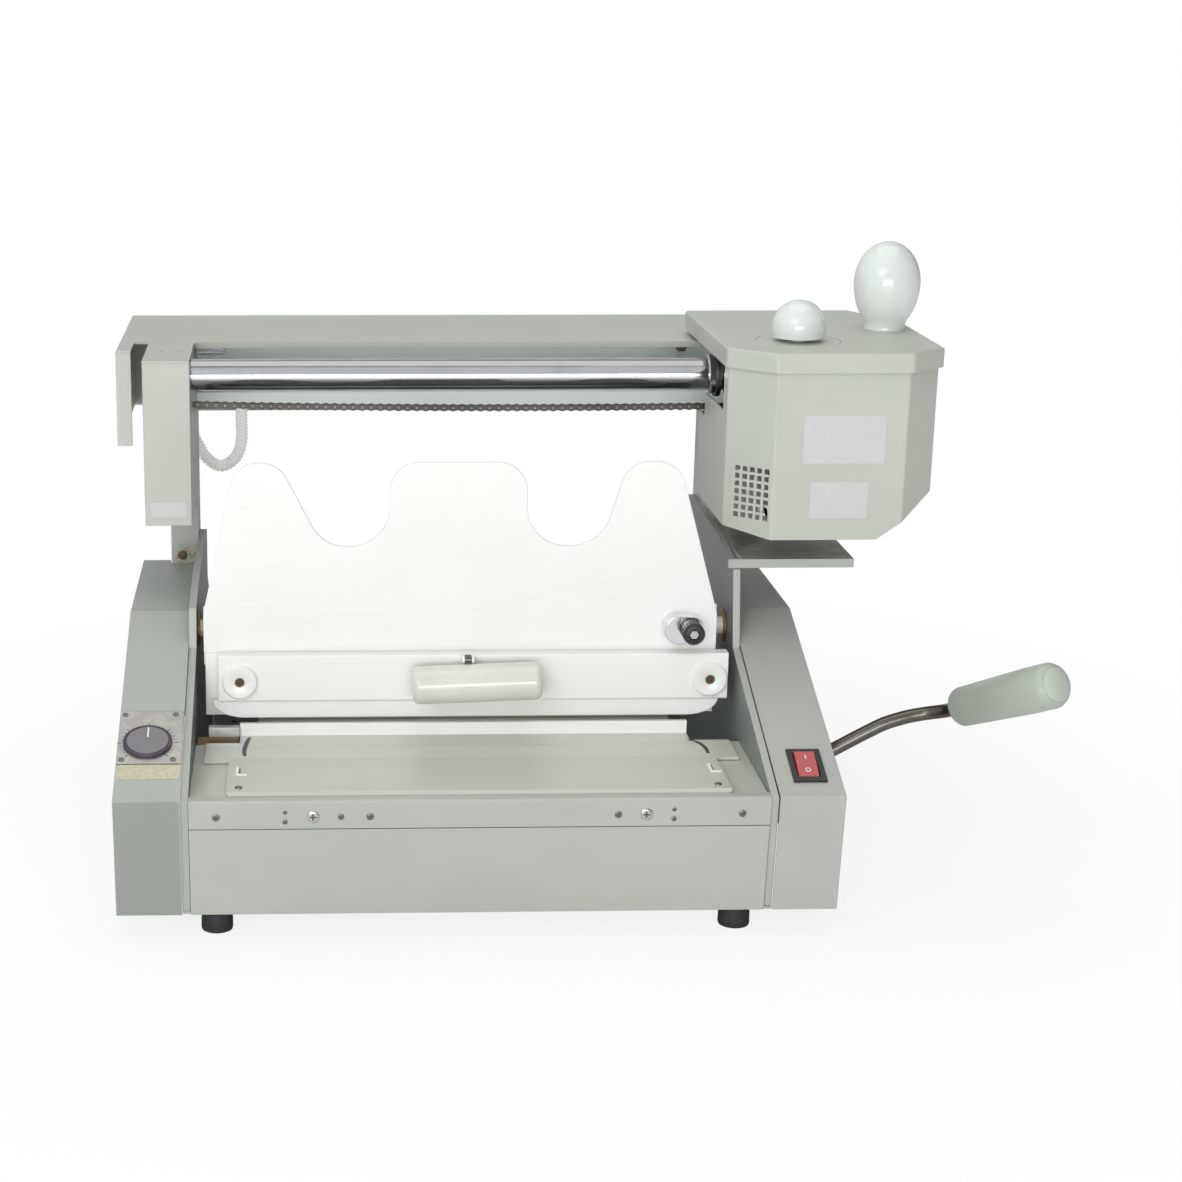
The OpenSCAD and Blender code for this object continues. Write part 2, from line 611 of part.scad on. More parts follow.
module thermostat_dial() place() color("#8f97a0") on_slope(dial_x, dial_y) difference() {
    translate([0, 0, dial_plate_t + gap]) cylinder(h = 4, r = dial_dia/2);
    translate([-0.8, -dial_dia/2 + 2, dial_plate_t + gap + 3.4]) cube([1.6, dial_dia - 4, 2]);
}

module switch_bezel() place() color("#26272a") on_slope(switch_x, switch_y) difference() {
    union() {
        translate([0, 0, 0.8]) cube([switch_w, switch_l, 1.6], center = true);
        translate([0, 0, -6]) cube([switch_w - 4.4, switch_l - 4.4, 13], center = true);
    }
    translate([0, 0, 1]) cube([switch_w - 7, switch_l - 8, 12], center = true);
}

rocker_l = switch_l - 9;
module power_rocker() place() color("#8e444a") on_slope(switch_x, switch_y) intersection() {
    translate([-(switch_w - 8)/2, 0, 0]) rotate([90, 0, 90]) linear_extrude(switch_w - 8) polygon([
        [-rocker_l/2, -1], [rocker_l/2, -1], [rocker_l/2, 3.6], [0, 2.6], [-rocker_l/2, 1]]);
    translate([0, 0, 1]) rotate([0, 90, 0]) cylinder(h = switch_w, r = rocker_l/2, center = true);
}

// --- lever and its bearing ---
module lever_bearing() place() color("#7b7f7a") difference() {
    block([side_in, lever_y - 14, arm_z - 34], [lever_x + 13, lever_y + 14, arm_z - 18]);
    cyl_z(lever_x, lever_y, arm_z - 35, arm_z - 17, 6 + run_fit);
}

module side_lever() place() color("#6b6a64") {
    path = [
        [lever_x, lever_y, lever_z], [lever_x + 70.4, lever_y, lever_z + 39.7],
        [lever_x + 83.3, lever_y, lever_z + 44.6], [lever_x + 100, lever_y, lever_z + 47.6],
        grip_start - 15.3*grip_dir, grip_start];
    cyl_z(lever_x, lever_y, arm_z - 32, arm_z - 17, 6);
    cyl_z(lever_x, lever_y, arm_z - 18 + gap, arm_z + 5, 11);
    for (i = [1:len(path) - 1]) rod_between(path[i - 1], path[i], lever_dia/2);
    for (i = [1:len(path) - 2]) translate(path[i]) sphere(r = lever_dia/2 + 0.04);
    block([lever_x - arm_r, lever_y - 5, arm_z], [lever_x, lever_y + 5, arm_z + 5]);
    cyl_z(lever_x - arm_r, lever_y, arm_z, arm_z + 5, 5);
    cyl_z(lever_x - arm_r, lever_y, arm_z + 4, deck_z - deck_t - 2, pin_r);
}

module lever_grip() place() color("#a9b1a4")
    translate(grip_start) rotate([0, 90 - grip_lie[1], -grip_lie[0]]) {
        r = lever_grip_dia/2;
        l = lever_grip_len;
        rotate_extrude() polygon([
            [0, 0], [r - 4.4, 0], [r - 2.2, 0.8], [r - 1.6, 3], [r, l*0.7], [r, l - 6.5],
            [r - grip_rim[1], l - grip_rim[0]], [r - 4, l - 1.4], [r - 8, l - 0.2], [0, l]]);
    }

module drip_tray() place() color("#a7aca4") {
    x0 = plate_in - 4;
    x1 = box_x0 + 85.5;
    z1 = roller_z0 - 4.5;
    lip = 6;
    y0 = box_y0 + 2;
    block([x0, y0, z1 - lip], [x1, y0 + sheet_t, z1]);
    y1 = roller_y[1] + 3;
    block([side_in + 0.3, y0 + sheet_t, z1 - sheet_t], [x1, y1, z1]);
    block([x1 - sheet_t, y0 + sheet_t, z1 - lip], [x1, y1, z1 - sheet_t]);
    block([side_in, y0 + 12, z1 - 16], [side_in + sheet_t, y1, z1]);
}

// --- clamp ---
module pivot_bushes() place() color("#a5793f") for (s = [-1, 1]) difference() {
    union() {
        cyl_x(s > 0 ? plate_in : -side_in, s > 0 ? side_in : -plate_in, pivot_y, pivot_z, pivot_dia/2 + 3);
        cyl_x(s > 0 ? plate_in - 1.5 : -plate_in, s > 0 ? plate_in : -plate_in + 1.5,
            pivot_y, pivot_z, pivot_dia/2 + 5);
    }
    cyl_x(s > 0 ? plate_in - 3 : -side_in - 1, s > 0 ? side_in + 1 : -plate_in + 3,
        pivot_y, pivot_z, pivot_dia/2 + run_fit);
}

arm_t = 3;
module clamp_arms() place() color("#cfd2cc") for (s = [-1, 1]) {
    x0 = s > 0 ? clamp_x1 - arm_t : clamp_x0;
    along_x(x0, x0 + arm_t) polygon([
        [plate_back, pivot_z - 14], [pivot_y + 8, pivot_z - 14], [pivot_y + 14, pivot_z - 6],
        [pivot_y + 14, pivot_z + 8], [pivot_y + 6, pivot_z + 16], [plate_back, pivot_z + 26]]);
    if (s > 0) cyl_x(x0 + arm_t, side_in - 0.5, pivot_y, pivot_z, pivot_dia/2);
    else cyl_x(-side_in + 0.5, x0, pivot_y, pivot_z, pivot_dia/2);
}

// Outline of the wavy plate, X and Z: three lobes with two hanging valleys
lobe_r = 19.5;
valley_r = 26.5;
module wave() {
    valley = tip_z - 56.3;
    foot = bar_top - 40;
    a = clamp_x0;
    b = clamp_x1;
    offset(r = -valley_r) offset(delta = valley_r) offset(r = lobe_r) offset(delta = -lobe_r) polygon([
        [a, foot], [b, foot], [b, bar_top + 24], [b - 28.5, tip_z], [b - 62.1, tip_z],
        [b - 78.6, valley], [b - 127.6, valley], [b - 127.6, tip_z],
        [a + 122.7, tip_z], [a + 122.7, valley], [a + 79.2, valley],
        [a + 50.2, tip_z], [a + 22.1, tip_z], [a, bar_top + 26]]);
}

module clamp_plate() place() color("#f3f5f1") along_y(plate_y, plate_back) intersection() {
    wave();
    translate([clamp_x0 - 1, bar_top - 1]) square([clamp_x1 - clamp_x0 + 2, tip_z]);
}

module rear_jaw() place() color("#e9ebe6") difference() {
    block([clamp_x0 + 1, rear_jaw_y, jaw_z], [clamp_x1 - 1, plate_back, bar_top - 1]);
    for (x = pin_x) cyl_y(x, rear_jaw_y - 1, plate_back + 1, pin_z, guide_dia/2 + run_fit);
}

module guide_bushes() place() color("#b9bcb8") for (x = pin_x) difference() {
    cyl_y(x, plate_back, bush_y1, pin_z, guide_dia/2 + 2);
    cyl_y(x, plate_back - 1, bush_y1 + 1, pin_z, guide_dia/2 + run_fit);
}

module clamp_bar() place() color("#f5f6f1") {
    difference() {
        along_x(bar_x0, bar_x1) polygon([
            [bar_y0 + 1, bar_z], [bar_y1, bar_z], [bar_y1, bar_top], [bar_y0 + 1, bar_top],
            [bar_y0, bar_top - 1], [bar_y0, bar_z + 1]]);
        for (x = pin_x) cyl_y(x, bar_y0 - 1, bar_y1 + 1, pin_z, guide_dia/2);
    }
    for (s = [0, 1]) mirror([s, 0, 0]) along_x(hinge_w/2 + gap, hinge_w/2 + gap + ear_t) hull() {
        translate([hinge_y, hinge_z]) circle(r = hinge_r + 1.2);
        translate([bar_y0 - 0.5, hinge_z - 2.8]) square([1, 3.6]);
    }
    cyl_x(-hinge_w/2 - gap - 0.5, hinge_w/2 + gap + 0.5, hinge_y, hinge_z, hinge_r);
}

module front_jaw() place() color("#dde2dc") along_y(bar_y0 + 3, bar_y1) difference() {
    union() {
        translate([jaw_x0 + jaw_corner, jaw_z]) square([jaw_x1 - jaw_x0 - 2*jaw_corner, jaw_h]);
        for (x = [jaw_x0 + jaw_corner, jaw_x1 - jaw_corner])
            translate([x, bar_z]) scale([jaw_corner/jaw_h, 1]) circle(r = jaw_h);
    }
    translate([jaw_x0 - 1, bar_z]) square([jaw_x1 - jaw_x0 + 2, jaw_h + 1]);
}

module guide_pins() place() color("#eef0eb") for (x = pin_x) difference() {
    union() {
        cyl_y(x, bar_y0, pin_y1, pin_z, guide_dia/2);
        cyl_y(x, bar_y0 - 3, bar_y0, pin_z, cap_r);
    }
    cyl_y(x, bar_y0 - 4, bar_y0 + 3, pin_z, 3);
}

module clamp_handle() place() color("#e6e9e0") {
    r = grip_dia/2;
    difference() {
        along_x(-hinge_w/2, hinge_w/2) hull() {
            translate([hinge_y, hinge_z]) circle(r = hinge_r + 1.6);
            translate([grip_y + 3, grip_z + 6]) circle(r = 3);
        }
        cyl_x(-hinge_w, hinge_w, hinge_y, hinge_z, hinge_r + run_fit);
    }
    translate([grip_x, grip_y, grip_z]) rotate([0, 90 - grip_lean, 0]) translate([0, 0, -grip_len/2])
        rotate_extrude() polygon([
            [0, 0], [r - 5, 0], [r - 1.6, 1.4], [r, 5], [r, grip_len - 5],
            [r - 1.6, grip_len - 1.4], [r - 5, grip_len], [0, grip_len]]);
}

module side_stop() place() color("#bfc4c6") {
    along_y(stop_y, plate_y) hull() {
        translate([stop_x - 7.4, stop_z - 0.9]) circle(r = 9.8);
        translate([stop_x, stop_z]) circle(r = 8.4);
    }
    cyl_y(stop_x, stop_y - 10, stop_y, stop_z, 2.5);
}

module stop_knob() place() color("#232426") translate([stop_x, stop_y - gap - stop_l, stop_z]) difference() {
    union() {
        cyl_y(0, 0, stop_l, 0, 6.6);
        for (a = [0:24:359]) rotate([0, a, 0]) translate([-0.8, 0, 6.2]) cube([1.6, stop_l, 1]);
    }
    cyl_y(0, stop_l - 10.4, stop_l + 1, 0, 2.5 + run_fit);
    rotate([90, 0, 0]) translate([0, 0, -2]) cylinder(h = 3, r = 3, $fn = 6);
}

// --- glue box ---
function box_outline(d) = inset([
    [box_x0 + chamfer_l[0], box_y0], [box_x1 - chamfer_r[0], box_y0],
    [box_x1, box_y0 + chamfer_r[1]], [box_x1, box_y1],
    [box_x0, box_y1], [box_x0, box_y0 + chamfer_l[1]]], d);

// Slanted cut under the lower right corner
slant = [box_x0 + 98.5, box_z0 + 29];
vent = [5, 7, 5.5, 5.25, 3.5];            // columns, rows, pitch along and up, hole
vent_at = [2.5, 29.8];                    // its middle, along the corner and up

module box_shell() place() color("#c6c9c0") {
    difference() {
        translate([0, 0, box_z0]) linear_extrude(box_h) difference() {
            polygon(box_outline(0));
            polygon(box_outline(sheet_t));
        }
        // the right wall passes the rod's block and the chain, the left one the bare rod and the chain
        block([box_x0 + 10, box_y0 + 38, notch_z], [box_x1 + 1, box_y1 + 1, box_z1 + 1]);
        block([box_x0 - 1, chain_y - 8, notch_z], [box_x0 + 11, box_y1 + 1, box_z1 + 1]);
        block([box_x0 - 1, box_y0 + 38, rod_z - rod_dia/2 - 4], [box_x0 + 11, chain_y, box_z1 + 1]);
        along_y(box_y0 - 1, box_y1 + 1) polygon([
            [slant[0], box_z0 - 1], [box_x1 + 1, box_z0 - 1], [box_x1 + 1, slant[1]],
            [slant[0], box_z0]]);
        along_y(box_y0 - 1, box_y1 + 1) polygon([
            [box_x0 - 1, box_z0 - 1], [box_x0 + chamfer_l[0], box_z0 - 1],
            [box_x0 + chamfer_l[0], box_z0], [box_x0, box_z0 + rise_l], [box_x0 - 1, box_z0 + rise_l]]);
        translate([box_x0 + chamfer_l[0]/2, box_y0 + chamfer_l[1]/2, box_z0 + vent_at[1]])
            rotate([0, 0, -atan2(chamfer_l[1], chamfer_l[0])]) translate([vent_at[0], 0, 0])
                for (i = [0:vent[0] - 1], k = [0:vent[1] - 1])
                    translate([(i - (vent[0] - 1)/2)*vent[2], 0, (k - (vent[1] - 1)/2)*vent[3]])
                        cube([vent[4], 12, vent[4]], center = true);
    }
}

module box_lid() place() color("#bfc0b8") difference() {
    o = lid_over;
    y1 = box_y0 - o + lid_d;
    outer = [
        [box_x0 + chamfer_l[0] - o/2, box_y0 - o], [box_x1 - chamfer_r[0] + o/2, box_y0 - o],
        [box_x1 + o, box_y0 + chamfer_r[1] - o/2], [box_x1 + o, y1 - 52], [box_x1 - 22, y1],
        [box_x0 - o + 1, y1], [box_x0 - o + 1, box_y0 + chamfer_l[1] - o/2]];
    translate([0, 0, box_z1]) linear_extrude(lid_h) polygon(outer);
    translate([0, 0, box_z1 - 1]) linear_extrude(lid_h - sheet_t + 1) polygon(inset(outer, sheet_t));
    cyl_z(dome_at[0], dome_at[1], box_z1, lid_z + 1, cap_r0 + 0.25);
}

module filler_cap() place() color("#bfc0b8") {
    cyl_z(dome_at[0], dome_at[1], lid_z - sheet_t, lid_z, cap_r0);
    cyl_z(dome_at[0], dome_at[1], lid_z - 9, lid_z - sheet_t, 10);
}

module dome_knob() place() color("#eef2ee") translate([dome_at[0], dome_at[1], lid_z])
    rotate_extrude() {
        r = dome_dia/2;
        polygon(concat(
            [[0, 0], [5.5, 0], [5.5, 2.6], [r - 1, 2.6]],
            [for (a = [-14:8:82]) [r*cos(a), r*0.52 + r*sin(a)]],
            [[0, r*1.52]]));
    }

// Egg-shaped handle: an upper and a lower half ellipse on a short neck
egg_mid = 0.53;                           // height of its widest place, of the whole
module egg_handle() place() color("#dbe1dc") translate([egg_at[0], egg_at[1], lid_z])
    rotate_extrude() {
        r = egg_dia/2;
        mid = egg_h*egg_mid;
        polygon(concat(
            [[0, 0], [r*0.63, 0], [r*0.61, 2], [r*0.62, 4]],
            [for (a = [-48:8:0]) [r*cos(a), mid + mid*1.06*sin(a)]],
            [for (a = [8:8:80]) [r*cos(a), mid + (egg_h - mid)*sin(a)]],
            [[0, egg_h]]));
    }

// Two labels on the front, from the box's lower left corner: low and high corners in X and Z
label_t = 0.3;
upper_label = [[46.8, 51.6], [101.4, 84]];
lower_label = [[53, 14.5], [91.5, 39.5]];
module blank_labels() place() color("#eef0f0") for (l = [upper_label, lower_label])
    block([box_x0 + l[0][0], box_y0 - label_t, box_z0 + l[0][1]],
        [box_x0 + l[1][0], box_y0, box_z0 + l[1][1]]);

module carriage_plate() place() color("#8d918b") {
    difference() {
        union() {
            block([box_x0 + sheet_t, plate_c[0], tank_z1 + 2], [box_x1 - sheet_t, plate_c[1], notch_z]);
            block([box_x0 + 8, plate_c[0], notch_z], [bush_x[1] + bush_l, plate_c[1], box_z1]);
        }
        cyl_y(roller_x, plate_c[0] - 1, plate_c[1] + 1, sprocket_z, shaft_r + run_fit);
    }
    block([tank_x0, plate_c[0] - 14, tank_z1], [tank_x1, plate_c[1], tank_z1 + 2]);
    for (x = bush_x) difference() {
        block([x, plate_c[1], rod_z - bush_r - 1.5], [x + bush_l, rod_y + block_d, box_z1]);
        cyl_x(x - 1, x + bush_l + 1, rod_y, rod_z, bush_r);
    }
    // lid studs
    for (x = bush_x) cyl_z(x + bush_l/2, plate_c[0] + 8, box_z1, lid_z - sheet_t, 3);
}

module rod_bushes() place() color("#b98d4e") for (x = bush_x) difference() {
    union() {
        cyl_x(x, x + bush_l, rod_y, rod_z, bush_r);
        cyl_x(x - 3, x, rod_y, rod_z, bush_r - 0.5);
    }
    cyl_x(x - 4, x + bush_l + 1, rod_y, rod_z, rod_dia/2 + run_fit);
}

module glue_tank() place() color("#9b9d9b") {
    w = 3;
    bay = [roller_x - roller_dia/2 - w, roller_x + roller_dia/2 + w];
    difference() {
        block([tank_x0, tank_y[0], box_z0 + 2], [tank_x1, tank_y[1], tank_z1]);
        block([bay[0], roller_y[0] - 1, box_z0 + 1], [bay[1], roller_y[1] + 1, tank_z1 + 1]);
        block([bay[1] + w, tank_y[0] + w, box_z0 + 8], [tank_x1 - w, tank_y[1] - w, tank_z1 + 1]);
        cyl_y(roller_x, tank_y[0] - 1, tank_y[1] + 1, roller_z, shaft_r + run_fit);
        cyl_y(tank_x1 - w - 8, tank_y[0] - 1, tank_y[0] + w + 1, box_z0 + 15, 3);
    }
}

module heater_rod() place() color("#b06a3a") {
    x = tank_x1 - 11;
    cyl_y(x, tank_y[0] - 10, tank_y[1] - 3, box_z0 + 15, 3);
    cyl_y(x, tank_y[0] - 14, tank_y[0] - 10, box_z0 + 15, 4.5);
}

module guide_arm() place() color("#85898a") {
    x = bush_x[1] + 4;
    a = rod_z - 14;
    block([x, rod_y + block_d, a], [x + 12, channel_y - 18, a + 5]);
    block([x, channel_y - 18, a], [x + 12, channel_y - 15, channel_z1 - 5]);
    cyl_y(x + 6, channel_y - 15, channel_y - 3, channel_z1 - 2.5 - gap - 5, 2);
    cyl_y(x + 6, channel_y - 14, channel_y - 5, channel_z1 - 2.5 - gap - 5, 5);
}

// Both drive shafts carry a pulley behind the tank; a belt joins them
pulley_y = [tank_y[1] + 0.4, tank_y[1] + 3.4];
pulley_r = 7;
belt_t = 1.6;
module stadium(r) {
    translate([roller_x, roller_z]) circle(r = r);
    translate([roller_x, sprocket_z]) circle(r = r);
    translate([roller_x - r, roller_z]) square([2*r, sprocket_z - roller_z]);
}
module drive_belt() place() color("#2e2e2e") along_y(pulley_y[0], pulley_y[1]) difference() {
    stadium(pulley_r + 0.2 + belt_t);
    stadium(pulley_r + 0.2);
}

module glue_roller() place() color("#b7b9b5") {
    cyl_y(roller_x, roller_y[0], roller_y[1], roller_z, roller_dia/2);
    cyl_y(roller_x, tank_y[0] - 1, pulley_y[1] + 0.4, roller_z, shaft_r);
    cyl_y(roller_x, pulley_y[0], pulley_y[1], roller_z, pulley_r);
}

teeth = 14;
module chain_sprocket() place() color("#6f7172") {
    cyl_y(roller_x, plate_c[0] - 3, pulley_y[1] + 0.4, sprocket_z, shaft_r);
    cyl_y(roller_x, plate_c[0] - 5, plate_c[0] - 3, sprocket_z, shaft_r + 2);
    cyl_y(roller_x, pulley_y[0], pulley_y[1], sprocket_z, pulley_r);
    cyl_y(roller_x, chain_y - 1.5, chain_y + 1.5, sprocket_z, sprocket_r - 3.4);
    for (i = [0:teeth - 1]) translate([roller_x, chain_y, sprocket_z]) rotate([0, i*360/teeth, 0])
        translate([-1.1, -1.5, sprocket_r - 4.4]) cube([2.2, 3, 4.4]);
}

base_plate();
rubber_feet();
left_frame_plate();
right_frame_plate();
left_cover();
right_cover();
front_panel();
front_rail();
chassis_screws();
table_deck();
lay_plate();
rear_nip_jaw();
rear_panel();
mains_inlet();
left_upright();
right_upright();
beam_channel();
beam_cover();
beam_end_cap();
post_cover();
guide_rod();
rod_blocks();
drive_chain();
conduit_hose();
conduit_glands();
thermostat_plate();
thermostat_body();
switch_bezel();
drip_tray();
pivot_bushes();
lever_bearing();
box_shell();
box_lid();
carriage_plate();
rod_bushes();
glue_tank();
heater_rod();
guide_arm();
drive_belt();
blank_labels();
egg_handle();
filler_cap();
dome_knob();
glue_roller();
chain_sprocket();
clamp_plate();
clamp_arms();
rear_jaw();
guide_bushes();
side_stop();
stop_knob();
clamp_bar();
front_jaw();
guide_pins();
clamp_handle();
nip_plate();
side_lever();
lever_grip();
thermostat_dial();
power_rocker();
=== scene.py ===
"""Desktop glue binding machine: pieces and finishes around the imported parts.

Lengths in this file are millimetres from the machine's datum: X = 0 in the middle of its
width, Y = 0 at the front fold, Z = 0 on the floor. at() turns them into the frame's metres.
"""

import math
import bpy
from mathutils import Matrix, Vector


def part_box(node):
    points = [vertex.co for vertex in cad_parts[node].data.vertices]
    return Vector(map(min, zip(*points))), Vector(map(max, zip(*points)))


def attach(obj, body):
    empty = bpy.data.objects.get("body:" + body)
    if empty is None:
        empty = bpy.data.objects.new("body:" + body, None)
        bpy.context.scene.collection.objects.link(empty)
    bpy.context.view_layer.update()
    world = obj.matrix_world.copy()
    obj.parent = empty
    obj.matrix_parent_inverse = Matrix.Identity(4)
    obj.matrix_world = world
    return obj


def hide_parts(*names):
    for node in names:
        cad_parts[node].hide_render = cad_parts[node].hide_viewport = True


bl_info = {
    "name": "Glue Binding Machine",
    "version": (1, 0, 0),
    "blender": (4, 5, 0),
    "location": "3D View > Sidebar > Binder",
    "description": "Builds the visible pieces of a desktop glue binding machine around its packed parts",
    "category": "Object",
}

import bmesh
import bpy
from mathutils import Matrix, Vector

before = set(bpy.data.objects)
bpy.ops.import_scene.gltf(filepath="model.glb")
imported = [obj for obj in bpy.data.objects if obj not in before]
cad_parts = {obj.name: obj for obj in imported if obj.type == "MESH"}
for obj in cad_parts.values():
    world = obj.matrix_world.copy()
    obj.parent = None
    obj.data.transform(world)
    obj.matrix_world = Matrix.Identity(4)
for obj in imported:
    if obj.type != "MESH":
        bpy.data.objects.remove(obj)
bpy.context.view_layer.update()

MM = 0.001
DATUM = Vector((
    (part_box("left_cover")[0].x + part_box("right_cover")[1].x) / 2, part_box("front_rail")[0].y, 0))
SLOPE = math.radians(20.08)
FOLD_Z = 93.0
DIAL_AT = (-206, 52)                      # middle of the dial and of the switch on the slope
SWITCH_AT = (205, 27)


def at(x, y, z):
    """A point of the frame, in metres, from millimetres off the machine's datum."""
    return DATUM + Vector((x, y, z)) * MM


def span(node):
    """Lowest and highest corner of a part, in millimetres from the datum."""
    low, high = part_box(node)
    return (low - DATUM) / MM, (high - DATUM) / MM


def on_slope(x, y, lift=0.0):
    """A point on the sloping top of the side covers, raised square to it."""
    return Vector((x, y - lift * math.sin(SLOPE), FOLD_Z + y * math.tan(SLOPE) + lift * math.cos(SLOPE)))


# --- sizes and colours that a user may change ---

def colour_setting(name, description, value):
    return bpy.props.FloatVectorProperty(
        name=name, description=description, subtype="COLOR", size=3, min=0, max=1, default=value)


def length_setting(name, description, value):
    return bpy.props.FloatProperty(
        name=name, description=description, subtype="DISTANCE", unit="LENGTH", min=0, default=value * MM)


class BinderColours(bpy.types.PropertyGroup):
    housing: colour_setting("Housing", "Powder coat of the base and side covers", (0.412, 0.430, 0.396))
    # The left cover's coat is a darker copy of the housing's: painted shade for the dimmer light on the left
    # side.
    left_side_shaded: colour_setting("Left housing", "Powder coat of the left side cover", (0.387, 0.417, 0.377))
    table: colour_setting("Table", "Coat of the nipping table", (0.485, 0.507, 0.452))
    beam: colour_setting("Beam", "Powder coat of the beam and post", (0.486, 0.508, 0.455))
    box: colour_setting("Glue box", "Powder coat of the glue box", (0.505, 0.528, 0.470))
    clamp: colour_setting("Clamp", "White coat of the page clamp", (0.850, 0.860, 0.828))
    knob: colour_setting("Knobs", "Plastic of the knobs on the glue box", (0.730, 0.775, 0.740))
    grip: colour_setting("Lever grip", "Plastic of the side lever's grip", (0.400, 0.440, 0.385))
    rocker: colour_setting("Rocker", "Plastic of the power switch", (0.420, 0.030, 0.035))


class BinderSizes(bpy.types.PropertyGroup):
    bend: length_setting("Bend radius", "Outer radius of folded sheet metal", 1.6)
    chain_pitch: length_setting("Chain pitch", "Distance between the pins of the drive chain", 6.35)
    hose_pitch: length_setting("Hose pitch", "Distance between the ribs of the conduit", 2.5)
    grain: length_setting("Coat grain", "Width of the grain in the powder coat", 0.9)


def colours():
    return bpy.context.scene.binder_colours


def sizes():
    return bpy.context.scene.binder_sizes


# --- finishes ---

class Value:
    """A number in a finish's node tree. Arithmetic on it adds Math nodes."""

    def __init__(self, finish, socket):
        self.finish, self.socket = finish, socket

    def _math(self, operation, a, b):
        node = self.finish.add("ShaderNodeMath", {"operation": operation}, {0: a, 1: b})
        return Value(self.finish, node.outputs[0])

    def __add__(self, other):
        return self._math("ADD", self, other)

    def __radd__(self, other):
        return self._math("ADD", other, self)

    def __sub__(self, other):
        return self._math("SUBTRACT", self, other)

    def __rsub__(self, other):
        return self._math("SUBTRACT", other, self)

    def __mul__(self, other):
        return self._math("MULTIPLY", self, other)

    def __rmul__(self, other):
        return self._math("MULTIPLY", other, self)

    def __pow__(self, other):
        return self._math("POWER", self, other)

    def step(self, low, high):
        """0 below low, 1 above high, smooth between."""
        node = self.finish.add("ShaderNodeMapRange", {"interpolation_type": "SMOOTHSTEP"},
                               {0: self, 1: low, 2: high, 3: 0.0, 4: 1.0})
        return Value(self.finish, node.outputs[0])


class Finish:
    """A material: a Principled shader, its plain values, and the nodes that vary it."""

    def __init__(self, name, **plain):
        self.material = bpy.data.materials.new(name)
        self.material.use_nodes = True
        self.tree = self.material.node_tree
        self.shader = self.tree.nodes["Principled BSDF"]
        for key, value in plain.items():
            self.shader.inputs[key.replace("_", " ").title().replace("Ior", "IOR")].default_value = value

    def add(self, kind, settings=None, links=None):
        node = self.tree.nodes.new(kind)
        for key, value in (settings or {}).items():
            if key == "stops":
                ramp = node.color_ramp.elements
                while len(ramp) < len(value):
                    ramp.new(0.5)
                for element, (position, colour) in zip(ramp, value):
                    element.position, element.color = position, (*colour, 1)
            else:
                setattr(node, key, value)
        for key, value in (links or {}).items():
            if isinstance(value, Value):
                value = value.socket
            if isinstance(value, bpy.types.NodeSocket):
                self.tree.links.new(value, node.inputs[key])
            else:
                node.inputs[key].default_value = value
        return node

    def place(self, stretch=(1, 1, 1)):
        """Object coordinates in millimetres, squeezed along the axes by stretch."""
        spot = self.add("ShaderNodeTexCoord").outputs["Object"]
        return self.add("ShaderNodeMapping", {}, {
            "Vector": spot, "Scale": tuple(s / MM for s in stretch)}).outputs[0]

    def noise(self, per_mm, detail=2.0, stretch=(1, 1, 1), roughness=0.5, where=None):
        node = self.add("ShaderNodeTexNoise", {}, {
            "Vector": where or self.place(stretch), "Scale": per_mm, "Detail": detail,
            "Roughness": roughness})
        return Value(self, node.outputs[0])

    def axis(self, index):
        """One coordinate in millimetres, from the frame's origin."""
        split = self.add("ShaderNodeSeparateXYZ", {}, {0: self.place()})
        return Value(self, split.outputs[index])

    def mix(self, factor, a, b):
        """A colour between a and b."""
        full = lambda c: (*c, 1) if isinstance(c, (tuple, list, Vector)) and len(c) == 3 else c
        node = self.add("ShaderNodeMix", {"data_type": "RGBA"}, {0: factor, 6: full(a), 7: full(b)})
        return node.outputs[2]

    def feed(self, socket, value):
        value = value.socket if isinstance(value, Value) else value
        self.tree.links.new(value, self.shader.inputs[socket])

    def bump(self, height, depth_mm, strength=1.0, under=None):
        links = {"Height": height, "Distance": depth_mm * MM, "Strength": strength}
        if under is not None:
            links["Normal"] = under
        return self.add("ShaderNodeBump", {}, links).outputs[0]


def tint(colour, by):
    return tuple(min(1.0, max(0.0, c * by)) for c in colour)


def powder_coat(name, colour, roughness=0.42, depth=0.035, dust=0.06):
    """Baked powder coat: fine orange peel, faint cloudiness and a little dust."""
    f = Finish(name, coat_weight=0.12, coat_roughness=0.35, ior=1.5)
    grain = 1.0 / (sizes().grain / MM)
    cloud = f.noise(0.012, 3.0)
    speck = f.noise(2.2 * grain, 1.0)
    colour = tuple(colour)
    base = f.mix(cloud.step(0.35, 0.65), tint(colour, 0.975), tint(colour, 1.02))
    base = f.mix(speck.step(0.62, 0.8) * dust, base, tint(colour, 0.80))
    f.feed("Base Color", base)
    f.feed("Roughness", roughness + (cloud - 0.5) * 0.10 + (speck - 0.5) * 0.06)
    peel = f.noise(grain, 2.0)
    f.feed("Normal", f.bump(peel, depth, 0.55))
    return f.material


def smooth_coat(name, colour, roughness=0.28):
    """Glossy paint with faint brush-out lines along its length and small marks."""
    f = Finish(name, coat_weight=0.25, coat_roughness=0.18, ior=1.5)
    colour = tuple(colour)
    lines = f.noise(0.9, 2.0, stretch=(0.012, 1, 1))
    cloud = f.noise(0.02, 2.0)
    marks = f.noise(0.35, 4.0, roughness=0.7)
    base = f.mix(cloud.step(0.3, 0.7), tint(colour, 0.975), colour)
    base = f.mix(marks.step(0.70, 0.80) * 0.10, base, tint(colour, 0.72))
    f.feed("Base Color", base)
    f.feed("Roughness", roughness + (lines - 0.5) * 0.14)
    f.feed("Normal", f.bump(lines, 0.02, 0.35))
    return f.material


